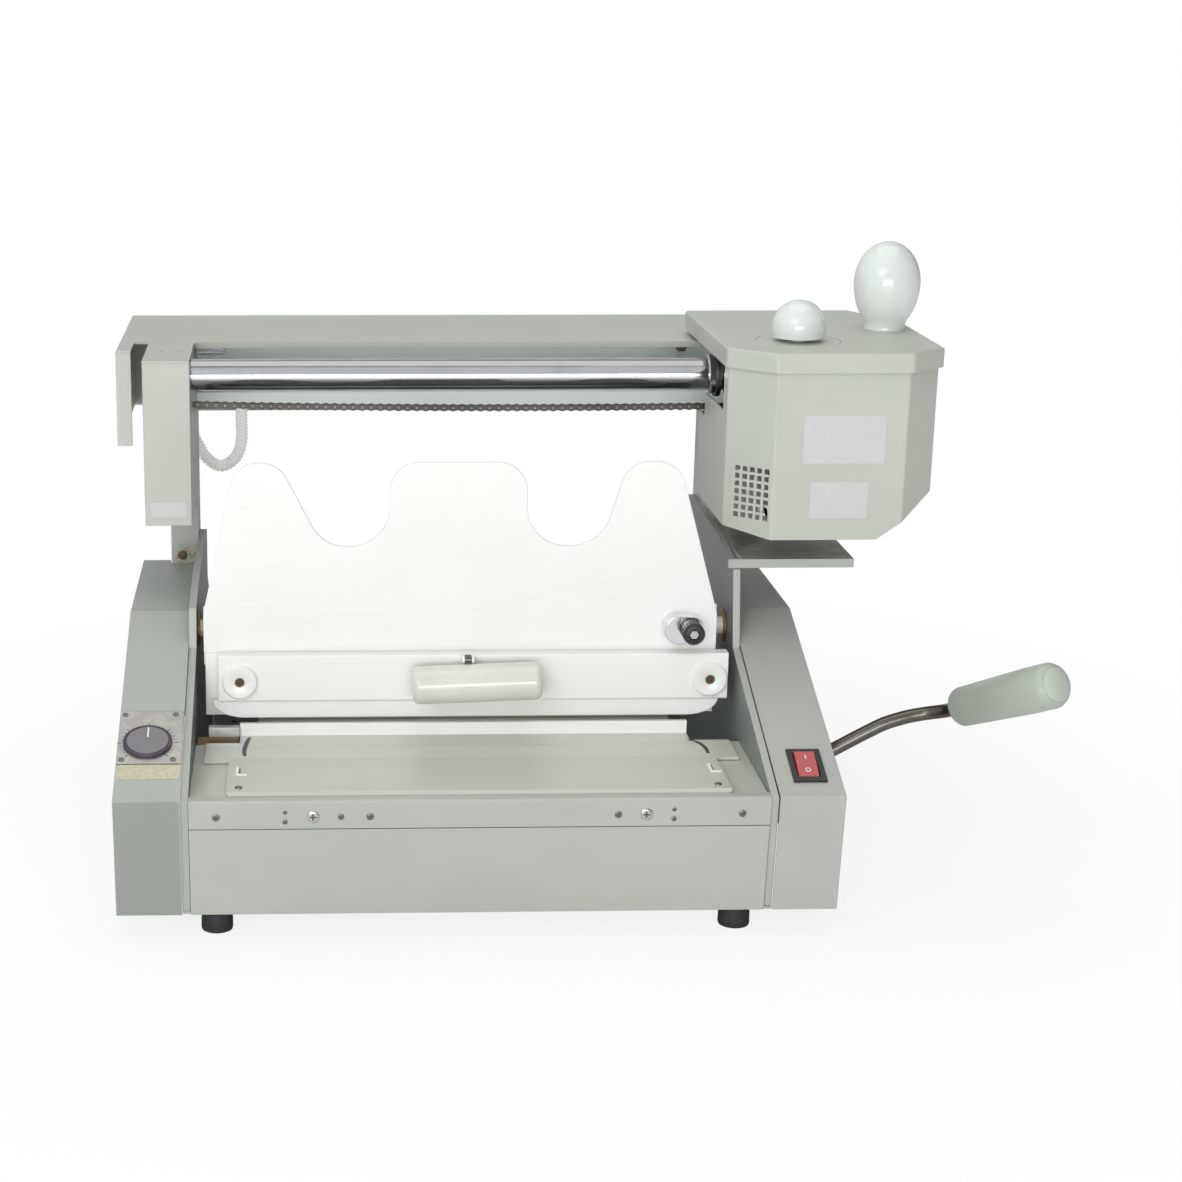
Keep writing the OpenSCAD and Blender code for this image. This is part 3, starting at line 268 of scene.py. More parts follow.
def bare_metal(name, colour, roughness=0.3, along=(0.02, 1, 1), per_mm=3.0, depth=0.01, stain=None,
               metallic=1.0):
    """Machined or brushed metal, its lines running along the axis that along squeezes."""
    f = Finish(name, metallic=metallic)
    lines = f.noise(per_mm, 3.0, stretch=along)
    cloud = f.noise(0.05, 3.0)
    colour = tuple(colour)
    base = f.mix(lines.step(0.3, 0.7), tint(colour, 0.86), tint(colour, 1.06))
    if stain:
        base = f.mix(cloud.step(0.52, 0.72) * 0.6, base, stain)
    f.feed("Base Color", base)
    f.feed("Roughness", roughness + (lines - 0.5) * 0.16 + (cloud - 0.5) * 0.10)
    f.feed("Normal", f.bump(lines, depth, 0.5))
    return f.material


def ground_chrome(name, colour=(0.72, 0.73, 0.74), roughness=0.09, rings=(1, 0.02, 0.02), film=None):
    """Hard chromed bar, ground round its axis; film gives the heights of dark bands painted along it, painted
    reflections of dark surroundings.
    """
    f = Finish(name, metallic=1.0)
    lines = f.noise(2.4, 2.0, stretch=rings)
    wear = f.noise(0.03, 3.0)
    base = f.mix(wear.step(0.45, 0.75), colour, tint(colour, 0.88))
    # Dark bands at the given heights: painted reflections.
    if film:
        height = f.axis(2) + (wear - 0.5) * 1.2
        for low, high, dark in film:
            reflection_band = height.step(low - 1.2, low + 0.6) * (1 - height.step(high - 0.8, high + 0.8))
            base = f.mix(reflection_band * dark, base, (0.06, 0.058, 0.056))
    f.feed("Base Color", base)
    f.feed("Roughness", roughness + (lines - 0.5) * 0.05 + wear.step(0.5, 0.8) * 0.06)
    f.feed("Normal", f.bump(lines, 0.004, 0.25))
    return f.material


def moulded(name, colour, roughness=0.35, grain=1.6, depth=0.015, coat=0.0, haze=0.03, glow=0.0):
    """Moulded plastic with a fine skin and slight clouding; glow is painted light, an emission that stands in
    for light through a thin wall.
    """
    f = Finish(name, coat_weight=coat, coat_roughness=0.12, ior=1.47, emission_strength=glow,
               emission_color=(*colour, 1))
    colour = tuple(colour)
    cloud = f.noise(0.05, 3.0)
    skin = f.noise(grain, 2.0)
    f.feed("Base Color", f.mix(cloud.step(0.3, 0.7), tint(colour, 1 - haze), tint(colour, 1 + haze)))
    f.feed("Roughness", roughness + (cloud - 0.5) * 0.12 + (skin - 0.5) * 0.06)
    f.feed("Normal", f.bump(skin, depth, 0.4))
    return f.material


def rubbery(name):
    """Dull rubber, paler where dust sits."""
    f = Finish(name, ior=1.45)
    dust = f.noise(0.25, 4.0, roughness=0.7)
    f.feed("Base Color", f.mix(dust.step(0.5, 0.8) * 0.5, (0.022, 0.022, 0.024), (0.085, 0.083, 0.078)))
    f.feed("Roughness", 0.62 + (dust - 0.5) * 0.2)
    f.feed("Normal", f.bump(f.noise(2.5, 2.0), 0.03, 0.6))
    return f.material


def stained_steel(name, colour, stain, centre, reach):
    """Coated sheet with a brown run of rust below one bolt."""
    f = Finish(name, ior=1.5)
    colour = tuple(colour)
    spot = at(*centre) / MM
    away = f.add("ShaderNodeVectorMath", {"operation": "DISTANCE"}, {0: f.place(), 1: tuple(spot)})
    near = 1 - Value(f, away.outputs["Value"]).step(reach * 0.2, reach)
    rough = f.noise(0.6, 4.0, roughness=0.65)
    cloud = f.noise(0.012, 3.0)
    base = f.mix(cloud.step(0.35, 0.65), tint(colour, 0.96), tint(colour, 1.02))
    f.feed("Base Color", f.mix(near * rough.step(0.35, 0.65) * 0.85, base, stain))
    f.feed("Roughness", 0.42 + near * 0.25)
    f.feed("Normal", f.bump(f.noise(1.1), 0.035, 0.5))
    return f.material


def plate_film(name):
    """Brushed plate of the thermostat, with a worn purple grey film."""
    f = Finish(name, metallic=0.55)
    lines = f.noise(2.5, 3.0, stretch=(0.04, 1, 1))
    wear = f.noise(0.10, 4.0, roughness=0.65)
    base = f.mix(wear.step(0.40, 0.66), (0.36, 0.345, 0.33), (0.47, 0.46, 0.425))
    f.feed("Base Color", f.mix(lines * 0.25, base, (0.24, 0.235, 0.245)))
    f.feed("Roughness", 0.36 + (wear - 0.5) * 0.25)
    f.feed("Normal", f.bump(lines, 0.012, 0.4))
    return f.material


def label_film(name, edge=None):
    """Pale printed film with nothing on it but a slight mottle."""
    f = Finish(name, coat_weight=0.35, coat_roughness=0.25, ior=1.46)
    mottle = f.noise(0.4, 2.0)
    low, high = edge or ((0.555, 0.565, 0.565), (0.58, 0.59, 0.585))
    f.feed("Base Color", f.mix(mottle.step(0.3, 0.7), low, high))
    f.feed("Roughness", 0.42 + (mottle - 0.5) * 0.1)
    f.feed("Normal", f.bump(f.noise(0.8, 1.0), 0.01, 0.3))
    return f.material


FINISHES = {}


def finish(name):
    """The material of that name, made the first time it is asked for."""
    if name not in FINISHES:
        c = colours()
        FINISHES[name] = {
            "housing": lambda: powder_coat("housing_coat", c.housing),
            # Painted shade: the left cover and the left frame plate's front and top faces take the darker
            # copy of the housing coat.
            "left_side_shaded": lambda: powder_coat("left_housing_painted_shade_coat", c.left_side_shaded),
            # Painted shade: the left cover's front faces take its coat at 0.72 of the brightness.
            "left_front_shade": lambda: powder_coat("left_front_painted_shade_coat", tint(c.left_side_shaded, 0.72)),
            "panel": lambda: powder_coat("front_panel_coat", c.housing, 0.40, 0.03),
            "beam_top": lambda: powder_coat("beam_top_coat", tint(c.beam, 0.98)),
            "table": lambda: smooth_coat("table_coat", c.table, 0.33),
            # Painted light: a lighter copy of the table coat, lifting the nip plate's top out of the shade
            # under the clamp jaw.
            "nip_top_lit": lambda: smooth_coat("nip_painted_light_coat", tint(c.table, 1.12), 0.33),
            "beam": lambda: powder_coat("beam_coat", c.beam),
            "column": lambda: stained_steel("column_coat", tint(c.beam, 0.92), (0.20, 0.12, 0.06),
                                            (-192, 315, 166), 14),
            "channel": lambda: smooth_coat("channel_coat", (0.92, 0.97, 0.955), 0.30),
            "box": lambda: powder_coat("glue_box_coat", c.box),
            # Painted shade: a darker copy of the glue box coat on the tray's front lip.
            "tray_lip_shade": lambda: powder_coat("tray_lip_painted_shade_coat", tint(c.box, 0.80)),
            "clamp": lambda: smooth_coat("clamp_coat", c.clamp, 0.30),
            "jaw": lambda: smooth_coat("jaw_coat", tint(c.clamp, 1.04), 0.30),
            # Painted shade: the frame plates' inner faces take these very dark coats for the shade between
            # the covers.
            "frame": lambda: powder_coat("frame_painted_shade_coat", (0.105, 0.112, 0.105), 0.5),
            "frame_right_shade": lambda: powder_coat("right_frame_painted_shade_coat", (0.20, 0.222, 0.205), 0.5),
            "zinc": lambda: bare_metal("zinc_plate", (0.52, 0.54, 0.54), 0.36, stain=(0.40, 0.41, 0.40)),
            "dark_steel": lambda: bare_metal("dark_steel", (0.17, 0.165, 0.155), 0.38,
                                             stain=(0.10, 0.085, 0.07)),
            "screw": lambda: bare_metal("screw_steel", (0.20, 0.195, 0.185), 0.34, along=(1, 1, 1),
                                        per_mm=1.5),
            "bright_screw": lambda: bare_metal("bright_screw", (0.52, 0.52, 0.50), 0.28, along=(1, 1, 1),
                                               per_mm=1.5),
            # The dark bands at these heights on the guide rod are painted reflections.
            "rod": lambda: ground_chrome("ground_rod", film=((303.5, 310.5, 0.75), (318.9, 320.1, 0.65),
                                                             (320.2, 322.8, 0.62))),
            "chrome": lambda: ground_chrome("bright_chrome", (0.78, 0.80, 0.82), 0.12, (0.02, 1, 1)),
            "lever_rod": lambda: bare_metal("lever_steel", (0.15, 0.14, 0.125), 0.30, along=(0.05, 1, 1),
                                            stain=(0.11, 0.085, 0.06)),
            "chain": lambda: bare_metal("oiled_chain", (0.085, 0.080, 0.072), 0.34, along=(1, 1, 1),
                                        per_mm=1.2),
            "bronze": lambda: bare_metal("sintered_bronze", (0.42, 0.26, 0.11), 0.42, along=(1, 0.05, 0.05)),
            "cast": lambda: bare_metal("cast_metal", (0.42, 0.42, 0.41), 0.5, along=(1, 1, 1), per_mm=0.8,
                                       depth=0.05),
            "roller": lambda: bare_metal("roller_metal", (0.50, 0.49, 0.46), 0.30, along=(0.03, 1, 0.03)),
            "sheath": lambda: bare_metal("heater_sheath", (0.36, 0.19, 0.10), 0.4, along=(1, 0.05, 1)),
            "tray": lambda: bare_metal("tray_steel", (0.42, 0.41, 0.37), 0.30, per_mm=1.2, depth=0.006,
                                       stain=(0.33, 0.29, 0.23),
                                       metallic=0.6),
            "knob": lambda: moulded("knob_plastic", c.knob, 0.22, coat=0.5),
            "grip": lambda: moulded("grip_plastic", c.grip, 0.36, coat=0.15),
            # Painted light: a lighter copy of the grip plastic for the grip's end face, which faces the
            # light.
            "grip_end_lit": lambda: moulded("grip_end_painted_light_plastic", tint(c.grip, 1.25), 0.36, coat=0.15),
            "handle": lambda: moulded("handle_plastic", (0.66, 0.675, 0.62), 0.25, coat=0.4),
            "black": lambda: moulded("black_plastic", (0.018, 0.018, 0.020), 0.36, haze=0.2),
            "soft_black": lambda: moulded("belt_rubber", (0.020, 0.020, 0.021), 0.6, haze=0.2),
            "dial_rim": lambda: moulded("dial_rim", (0.050, 0.040, 0.060), 0.38, haze=0.15),
            "dial": lambda: bare_metal("dial_cap", (0.19, 0.18, 0.20), 0.34, along=(0.3, 1, 0.3), per_mm=2.0,
                                       metallic=0.7),
            "red": lambda: moulded("red_plastic", c.rocker, 0.22, coat=0.4),
            "ink": lambda: moulded("white_ink", (0.80, 0.79, 0.77), 0.5),
            # Dark print, also used as painted shade in screw recesses, vent slits, slots and tab shadows.
            "dark_ink": lambda: moulded("dark_ink", (0.05, 0.05, 0.055), 0.5),
            # Painted light: the conduit and its glands glow at 0.22, standing in for light through the thin
            # plastic wall.
            "hose": lambda: moulded("conduit_painted_glow_plastic", (0.93, 0.935, 0.92), 0.38, coat=0.1, glow=0.22),
            "film": lambda: plate_film("thermostat_film"),
            "label": lambda: label_film("blank_label"),
            "tape": lambda: label_film("aged_strip", ((0.47, 0.435, 0.30), (0.56, 0.53, 0.40))),
            "rust": lambda: bare_metal("rusty_socket", (0.16, 0.10, 0.055), 0.6, along=(1, 1, 1), per_mm=1.0,
                                       metallic=0.5),
            "rubber": lambda: rubbery("foot_rubber"),
        }[name]()
    return FINISHES[name]


# --- shapes ---

class Shape:
    """A mesh under construction, in millimetres from the datum."""

    def __init__(self):
        self.bm = bmesh.new()
        self.slot = 0

    def _face(self, verts):
        try:
            made = self.bm.faces.new(verts)
        except ValueError:
            return None
        made.material_index = self.slot
        return made

    def solid(self, rings, closed=False, caps=True):
        """Skin over rings of points that all have the same count."""
        rows = [[self.bm.verts.new(p) for p in ring] for ring in rings]
        pairs = list(zip(rows, rows[1:])) + ([(rows[-1], rows[0])] if closed else [])
        for a, b in pairs:
            k = len(a)
            for i in range(k):
                self._face([a[i], a[(i + 1) % k], b[(i + 1) % k], b[i]])
        if caps and not closed:
            self._face(rows[0][::-1])
            self._face(rows[-1])
        return self

    def prism(self, outline, low, high, axis="z"):
        """A flat outline pushed along an axis: x takes (y, z), y takes (x, z), z takes (x, y)."""
        spread = {"x": lambda p, h: (h, p[0], p[1]), "y": lambda p, h: (p[0], h, p[1]),
                  "z": lambda p, h: (p[0], p[1], h)}[axis]
        return self.solid([[spread(p, h) for p in outline] for h in (low, high)])

    def block(self, low, high):
        (x0, y0, z0), (x1, y1, z1) = low, high
        return self.prism([(x0, y0), (x1, y0), (x1, y1), (x0, y1)], z0, z1)

    def turned(self, profile, origin, direction=(0, 0, 1), around=48):
        """A profile of (radius, height) pairs turned about an axis, poles closed."""
        turn = Vector((0, 0, 1)).rotation_difference(Vector(direction).normalized()).to_matrix()
        origin = Vector(origin)
        spot = lambda r, h, a: origin + turn @ Vector((r * math.cos(a), r * math.sin(a), h))
        rows = []
        for r, h in profile:
            if r < 1e-6:
                rows.append([self.bm.verts.new(spot(0, h, 0))])
            else:
                rows.append([self.bm.verts.new(spot(r, h, 2 * math.pi * i / around)) for i in range(around)])
        for a, b in zip(rows, rows[1:]):
            for i in range(around):
                j = (i + 1) % around
                ring = [a[i % len(a)], a[j % len(a)], b[j % len(b)], b[i % len(b)]]
                self._face(list(dict.fromkeys(ring)))
        return self

    def tube(self, path, radius, around=24, caps=True):
        """A round tube along a path; radius is a number or one for each point."""
        path = [Vector(p) for p in path]
        radii = radius if isinstance(radius, (list, tuple)) else [radius] * len(path)
        rings, side = [], None
        for i, p in enumerate(path):
            t = (path[min(i + 1, len(path) - 1)] - path[max(i - 1, 0)]).normalized()
            if side is None:
                side = t.orthogonal().normalized()
            side = (side - t * side.dot(t)).normalized()
            up = t.cross(side)
            rings.append([p + (side * math.cos(a) + up * math.sin(a)) * radii[i]
                          for a in (2 * math.pi * k / around for k in range(around))])
        return self.solid(rings, caps=caps)

    def tilt(self, x, y, lift, since):
        """Lays what was added after since on the covers' slope, with (x, y) as its origin."""
        place = Matrix.Translation(on_slope(x, y, lift)) @ Matrix.Rotation(SLOPE, 4, "X")
        for v in list(self.bm.verts)[since:]:
            v.co = place @ v.co
        return self

    def count(self):
        return len(self.bm.verts)


def skin(node, merge=0.002):
    """A part's own shape as clean faces, ready for rounded edges."""
    s = Shape()
    s.bm.from_mesh(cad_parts[node].data)
    for v in s.bm.verts:
        v.co = (v.co - DATUM) / MM
    bmesh.ops.remove_doubles(s.bm, verts=s.bm.verts, dist=merge)
    bmesh.ops.dissolve_limit(s.bm, angle_limit=math.radians(0.6), verts=s.bm.verts, edges=s.bm.edges,
                             use_dissolve_boundaries=False)
    for face in s.bm.faces:
        face.material_index = 0
    return s


def soften(s, pick, radius, segments=4):
    """Rounds the convex edges that pick chooses from their middle and direction."""
    s.bm.edges.ensure_lookup_table()
    chosen = []
    for e in s.bm.edges:
        if len(e.link_faces) == 2 and e.is_convex and e.calc_face_angle(0) > math.radians(15):
            a, b = e.verts[0].co, e.verts[1].co
            if pick((a + b) / 2, (b - a).normalized()):
                chosen.append(e)
    if chosen:
        bmesh.ops.bevel(s.bm, geom=chosen, offset=radius, offset_type="OFFSET", segments=segments,
                        profile=0.5, affect="EDGES", clamp_overlap=True)
    return s


def piece(name, s, finishes, body, replaces=(), edge=0.0, segments=2, smooth=38, flip=False):
    """Turns a shape into a finished piece that rides on a body."""
    if flip:
        bmesh.ops.recalc_face_normals(s.bm, faces=s.bm.faces)
    mesh = bpy.data.meshes.new(name)
    for v in s.bm.verts:
        v.co = at(*v.co)
    s.bm.to_mesh(mesh)
    s.bm.free()
    for n in [finishes] if isinstance(finishes, str) else finishes:
        mesh.materials.append(finish(n))
    obj = bpy.data.objects.new(name, mesh)
    bpy.context.scene.collection.objects.link(obj)
    return settle(obj, body, replaces, edge, segments, smooth)


def settle(obj, body, replaces=(), edge=0.0, segments=2, smooth=38):
    """Shades a piece, rounds its edges, and hands it to its body."""
    mesh = obj.data
    mesh.shade_smooth()
    mesh.set_sharp_from_angle(angle=math.radians(smooth))
    if edge:
        bevel = obj.modifiers.new("rounded_edges", "BEVEL")
        bevel.width, bevel.segments = edge * MM, segments
        bevel.limit_method, bevel.angle_limit = "ANGLE", math.radians(30)
        bevel.use_clamp_overlap = True
        even = obj.modifiers.new("even_shading", "WEIGHTED_NORMAL")
        even.keep_sharp, even.weight = True, 90
    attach(obj, body)
    if replaces:
        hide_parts(*replaces)
    return obj


def dress(node, finishes, body, edge=0.45, pick=None, radius=1.6, segments=2, second=None):
    """The part's own shape with rounded edges and a finish, in place of the plain part.

    second chooses, from a face's middle and normal, the faces that take the second finish.
    """
    s = skin(node)
    if second:
        for face in s.bm.faces:
            face.material_index = 1 if second(face.calc_center_median(), face.normal) else 0
    if pick:
        soften(s, pick, radius)
    return piece(node + "_skin", s, finishes, body, (node,), edge, segments)


def paint(node, name):
    """A finish on a part that stays as it is."""
    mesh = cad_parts[node].data
    mesh.materials.clear()
    mesh.materials.append(finish(name))


# --- what repeats ---

def stamp_tree():
    """Nodes that set copies of a stamp on points, turned as each point says."""
    tree = bpy.data.node_groups.get("stamp_on_points")
    if tree:
        return tree
    tree = bpy.data.node_groups.new("stamp_on_points", "GeometryNodeTree")
    face = tree.interface
    face.new_socket("Geometry", in_out="INPUT", socket_type="NodeSocketGeometry")
    face.new_socket("Stamp", in_out="INPUT", socket_type="NodeSocketObject")
    face.new_socket("Size", in_out="INPUT", socket_type="NodeSocketFloat").default_value = 1.0
    face.new_socket("Finish", in_out="INPUT", socket_type="NodeSocketMaterial")
    face.new_socket("Geometry", in_out="OUTPUT", socket_type="NodeSocketGeometry")
    new, link = tree.nodes.new, tree.links.new
    start, end = new("NodeGroupInput"), new("NodeGroupOutput")
    info, turn = new("GeometryNodeObjectInfo"), new("GeometryNodeInputNamedAttribute")
    turn.data_type = "FLOAT_VECTOR"
    turn.inputs["Name"].default_value = "turn"
    to_turn = new("FunctionNodeEulerToRotation")
    copies = new("GeometryNodeInstanceOnPoints")
    real = new("GeometryNodeRealizeInstances")
    coat = new("GeometryNodeSetMaterial")
    link(start.outputs["Stamp"], info.inputs["Object"])
    link(start.outputs["Geometry"], copies.inputs["Points"])
    link(info.outputs["Geometry"], copies.inputs["Instance"])
    link(turn.outputs["Attribute"], to_turn.inputs[0])
    link(to_turn.outputs[0], copies.inputs["Rotation"])
    link(start.outputs["Size"], copies.inputs["Scale"])
    link(copies.outputs[0], real.inputs[0])
    link(real.outputs[0], coat.inputs["Geometry"])
    link(start.outputs["Finish"], coat.inputs["Material"])
    link(coat.outputs[0], end.inputs[0])
    return tree


def stamped(name, stamp, points, finish_name, body, turns=None, replaces=(), edge=0.0, smooth=38):
    """One piece of many copies of a small shape, which is drawn about its own origin."""
    bmesh.ops.recalc_face_normals(stamp.bm, faces=stamp.bm.faces)
    small = bpy.data.meshes.new(name + "_stamp")
    for v in stamp.bm.verts:
        v.co = v.co * MM
    stamp.bm.to_mesh(small)
    stamp.bm.free()
    one = bpy.data.objects.new(name + "_stamp", small)
    bpy.context.scene.collection.objects.link(one)
    seeds = bpy.data.meshes.new(name + "_points")
    seeds.from_pydata([at(*p) for p in points], [], [])
    spin = seeds.attributes.new("turn", "FLOAT_VECTOR", "POINT")
    for row, turn in zip(spin.data, turns or [(0, 0, 0)] * len(points)):
        row.vector = turn
    carrier = bpy.data.objects.new(name + "_points", seeds)
    bpy.context.scene.collection.objects.link(carrier)
    made = carrier.modifiers.new("copies", "NODES")
    tree = stamp_tree()
    made.node_group = tree
    sockets = {s.name: s.identifier for s in tree.interface.items_tree if s.in_out == "INPUT"}
    made[sockets["Stamp"]] = one
    made[sockets["Size"]] = 1.0
    made[sockets["Finish"]] = finish(finish_name)
    bpy.context.view_layer.update()
    ready = carrier.evaluated_get(bpy.context.evaluated_depsgraph_get())
    mesh = bpy.data.meshes.new_from_object(ready)
    mesh.name = name
    if "turn" in mesh.attributes:
        mesh.attributes.remove(mesh.attributes["turn"])
    for o in (carrier, one):
        bpy.data.objects.remove(o)
    obj = bpy.data.objects.new(name, mesh)
    bpy.context.scene.collection.objects.link(obj)
    return settle(obj, body, replaces, edge, 2, smooth)


def pan_head(radius, height, around=20):
    """A screw head that looks along +Z."""
    s = Shape()
    s.turned([(0, -1.0), (radius, -1.0), (radius, height * 0.35), (radius * 0.92, height * 0.72),
              (radius * 0.70, height * 0.95), (radius * 0.42, height), (radius * 0.30, height),
              (0, height * 1.02)], (0, 0, 0), around=around)
    return s


def cross_mark(radius, z, width=0.5):
    """Two crossed dark bars lying at height z, painted shade for a screw's cross recess."""
    s = Shape()
    s.block((-radius, -width / 2, z - 0.2), (radius, width / 2, z))
    s.block((-width / 2, -radius, z - 0.2), (width / 2, radius, z + 0.005))
    return s


FACING_FRONT = (math.pi / 2, 0, 0)        # a stamp's +Z turned to look along -Y
FACING_BACK = (-math.pi / 2, 0, 0)
FACING_LEFT = (0, -math.pi / 2, 0)
FACING_RIGHT = (0, math.pi / 2, 0)


def screws(name, points, turn, body, radius=2.6, height=1.0, finish_name="screw", recess=0.62,
           replaces=()):
    """Cross head screws, and the painted shade of the cross recess in each."""
    turns = [turn] * len(points)
    stamped(name, pan_head(radius, height), points, finish_name, body, turns, replaces)
    stamped(name + "_recess", cross_mark(radius * recess, height + 0.03, radius * 0.22), points, "dark_ink",
            body, turns)


def rounded(width, height, radius, steps=6, cx=0.0, cy=0.0):
    """A rectangle with round corners, anticlockwise."""
    outline = []
    for kx, ky, start in ((1, 1, 0), (-1, 1, 90), (-1, -1, 180), (1, -1, 270)):
        for i in range(steps + 1):
            a = math.radians(start + 90 * i / steps)
            outline.append((cx + kx * (width / 2 - radius) + radius * math.cos(a),
                            cy + ky * (height / 2 - radius) + radius * math.sin(a)))
    return outline


def curve_through(points, per_span=8):
    """A smooth line through points."""
    points = [Vector(p) for p in points]
    line = []
    for i in range(len(points) - 1):
        a, b, c, d = (points[max(i - 1, 0)], points[i], points[i + 1], points[min(i + 2, len(points) - 1)])
        for k in range(per_span):
            t = k / per_span
            line.append(0.5 * (2 * b + (c - a) * t + (2 * a - 5 * b + 4 * c - d) * t * t
                               + (3 * b - a - 3 * c + d) * t ** 3))
    return line + [points[-1]]


# --- operators, one for each group of pieces ---

class Piecework(bpy.types.Operator):
    bl_options = {"REGISTER", "UNDO"}

    def execute(self, context):
        self.build()
        return {"FINISHED"}


class BINDER_OT_base(Piecework):
    """Floor plate, feet, frame plates, back panel and mains inlet"""
    bl_idname = "binder.base"
    bl_label = "Base"

    def build(self):
        dress("base_plate", "zinc", "chassis", 0.3)
        # Front and top faces of the frame plates take the covers' paint; all other faces take the dark coats,
        # painted shade.
        rim = lambda mid, way: way.y < -0.5 or way.z > 0.5
        dress("left_frame_plate", ["frame", "left_side_shaded"], "chassis", 0.6, second=rim)
        dress("right_frame_plate", ["frame_right_shade", "housing"], "chassis", 0.6, second=rim)
        dress("rear_panel", "housing", "chassis")
        self.feet()
        self.inlet()

    def feet(self):
        low, high = span("rubber_feet")
        foot = Shape()
        foot.turned([(0, 6.0), (3.2, 6.0), (3.6, 0.4), (4.4, 0.0), (8.6, 0.0), (9.7, 0.5), (10.0, 1.8),
                     (9.9, 8.0), (9.4, 14.2), (9.0, 15.0), (0, 15.0)], (0, 0, 0))
        reach = 10.0
        spots = [(x, y, 0) for x in (low.x + reach, high.x - reach) for y in (low.y + reach, high.y - reach)]
        stamped("rubber_foot_set", foot, spots, "rubber", "chassis", replaces=("rubber_feet",))

    def inlet(self):
        dress("mains_inlet", "black", "chassis", 0.5)
        low, high = span("mains_inlet")
        mid = (low + high) / 2
        pins = Shape()
        for dx, dz in ((-6.5, -1.5), (6.5, -1.5), (0, 2.5)):
            pins.block((mid.x + dx - 1.0, high.y - 18, mid.z + dz - 2),
                       (mid.x + dx + 1.0, high.y - 5, mid.z + dz + 2))
        piece("inlet_pins", pins, "bright_screw", "chassis", edge=0.4)
        back = span("rear_panel")[1].y
        spots = [(x, back, z) for x in (-170, 0, 170) for z in (26, 96)]
        screws("rear_screws", spots, FACING_BACK, "chassis", 2.4, 0.9)
        # The vent slits are dark strips on the panel: painted shade where the openings would be.
        slit_shades = Shape()
        slit_shades.prism(rounded(34, 3.0, 1.5), 0, 0.25)
        spots = [(20 + 42 * i, back + 0.02, 46 + 9 * k) for i in range(3) for k in range(5)]
        stamped("rear_slits", slit_shades, spots, "dark_ink", "chassis", [FACING_BACK] * len(spots))


class BINDER_OT_housings(Piecework):
    """The two folded side covers with their screws"""
    bl_idname = "binder.housings"
    bl_label = "Side covers"

    def build(self):
        outer = span("right_cover")[1].x

        def folds(mid, way):
            side = abs(abs(mid.x) - outer) < 0.2
            across = abs(way.x) > 0.9 and (mid.z > 90 or mid.y > 395)
            return (side or across) and mid.z > 15.5 and not (70 < mid.y < 110 and 64 < mid.z < 102)

        # The left cover's front faces take the darker copy of its coat: painted shade.
        front = lambda mid, way: way.y < -0.9
        dress("left_cover", ["left_side_shaded", "left_front_shade"], "chassis", 0.3, folds,
              sizes().bend / MM, second=front)
        dress("right_cover", "housing", "chassis", 0.3, folds, sizes().bend / MM)
        places = ((30, 30), (370, 30), (40, 84), (372, 90), (200, 140))
        for side, sign, turn in (("left", -1, FACING_LEFT), ("right", 1, FACING_RIGHT)):
            spots = [(sign * (outer - 0.1), y, z) for y, z in places]
            screws(side + "_cover_screws", spots, turn, "chassis", 2.8, 1.0)


class BINDER_OT_front(Piecework):
    """Front rail and panel with the row of screws"""
    bl_idname = "binder.front"
    bl_label = "Front"

    def build(self):
        dress("front_rail", "panel", "chassis", 0.3,
              lambda mid, way: abs(way.x) > 0.9 and mid.z > 92.5 and mid.y < 1, sizes().bend / MM)
        dress("front_panel", "panel", "chassis", 0.35)
        z = FOLD_Z - 11
        lean = 8 * 11 / 78
        face = lambda x, dz=0.0: (x, lean - 0.25, z + dz)
        small = [face(x) for x in (-162, -67.8, 84.6, 161.2)]
        screws("rail_screws", small, FACING_FRONT, "chassis", 2.3, 0.45, replaces=("chassis_screws",))
        pairs = [face(x, dz) for x in (-119.8, 119) for dz in (-3.2, 3.2)]
        screws("rail_pins", pairs, FACING_FRONT, "chassis", 1.5, 0.4, recess=0.5)
        screws("rail_cross_screw", [face(-85.6)], FACING_FRONT, "chassis", 1.9, 0.45, recess=0.8)
        big = [face(x) for x in (-102.7, 101.9)]
        screws("rail_buttons", big, FACING_FRONT, "chassis", 3.9, 0.8, "bright_screw", 0.55)
        deck = span("lay_plate")[1].z
        spots = [(x, 18, deck - 0.1) for x in (-148.5, 148.5)]
        screws("lay_screws", spots, (0, 0, 0), "chassis", 2.4, 0.9)
        lugs = [(x, 315 - 0.1, 167) for x in (-196, 196)]
        screws("upright_bolts", lugs, FACING_FRONT, "chassis", 3.4, 1.8, "rust", 0.5)


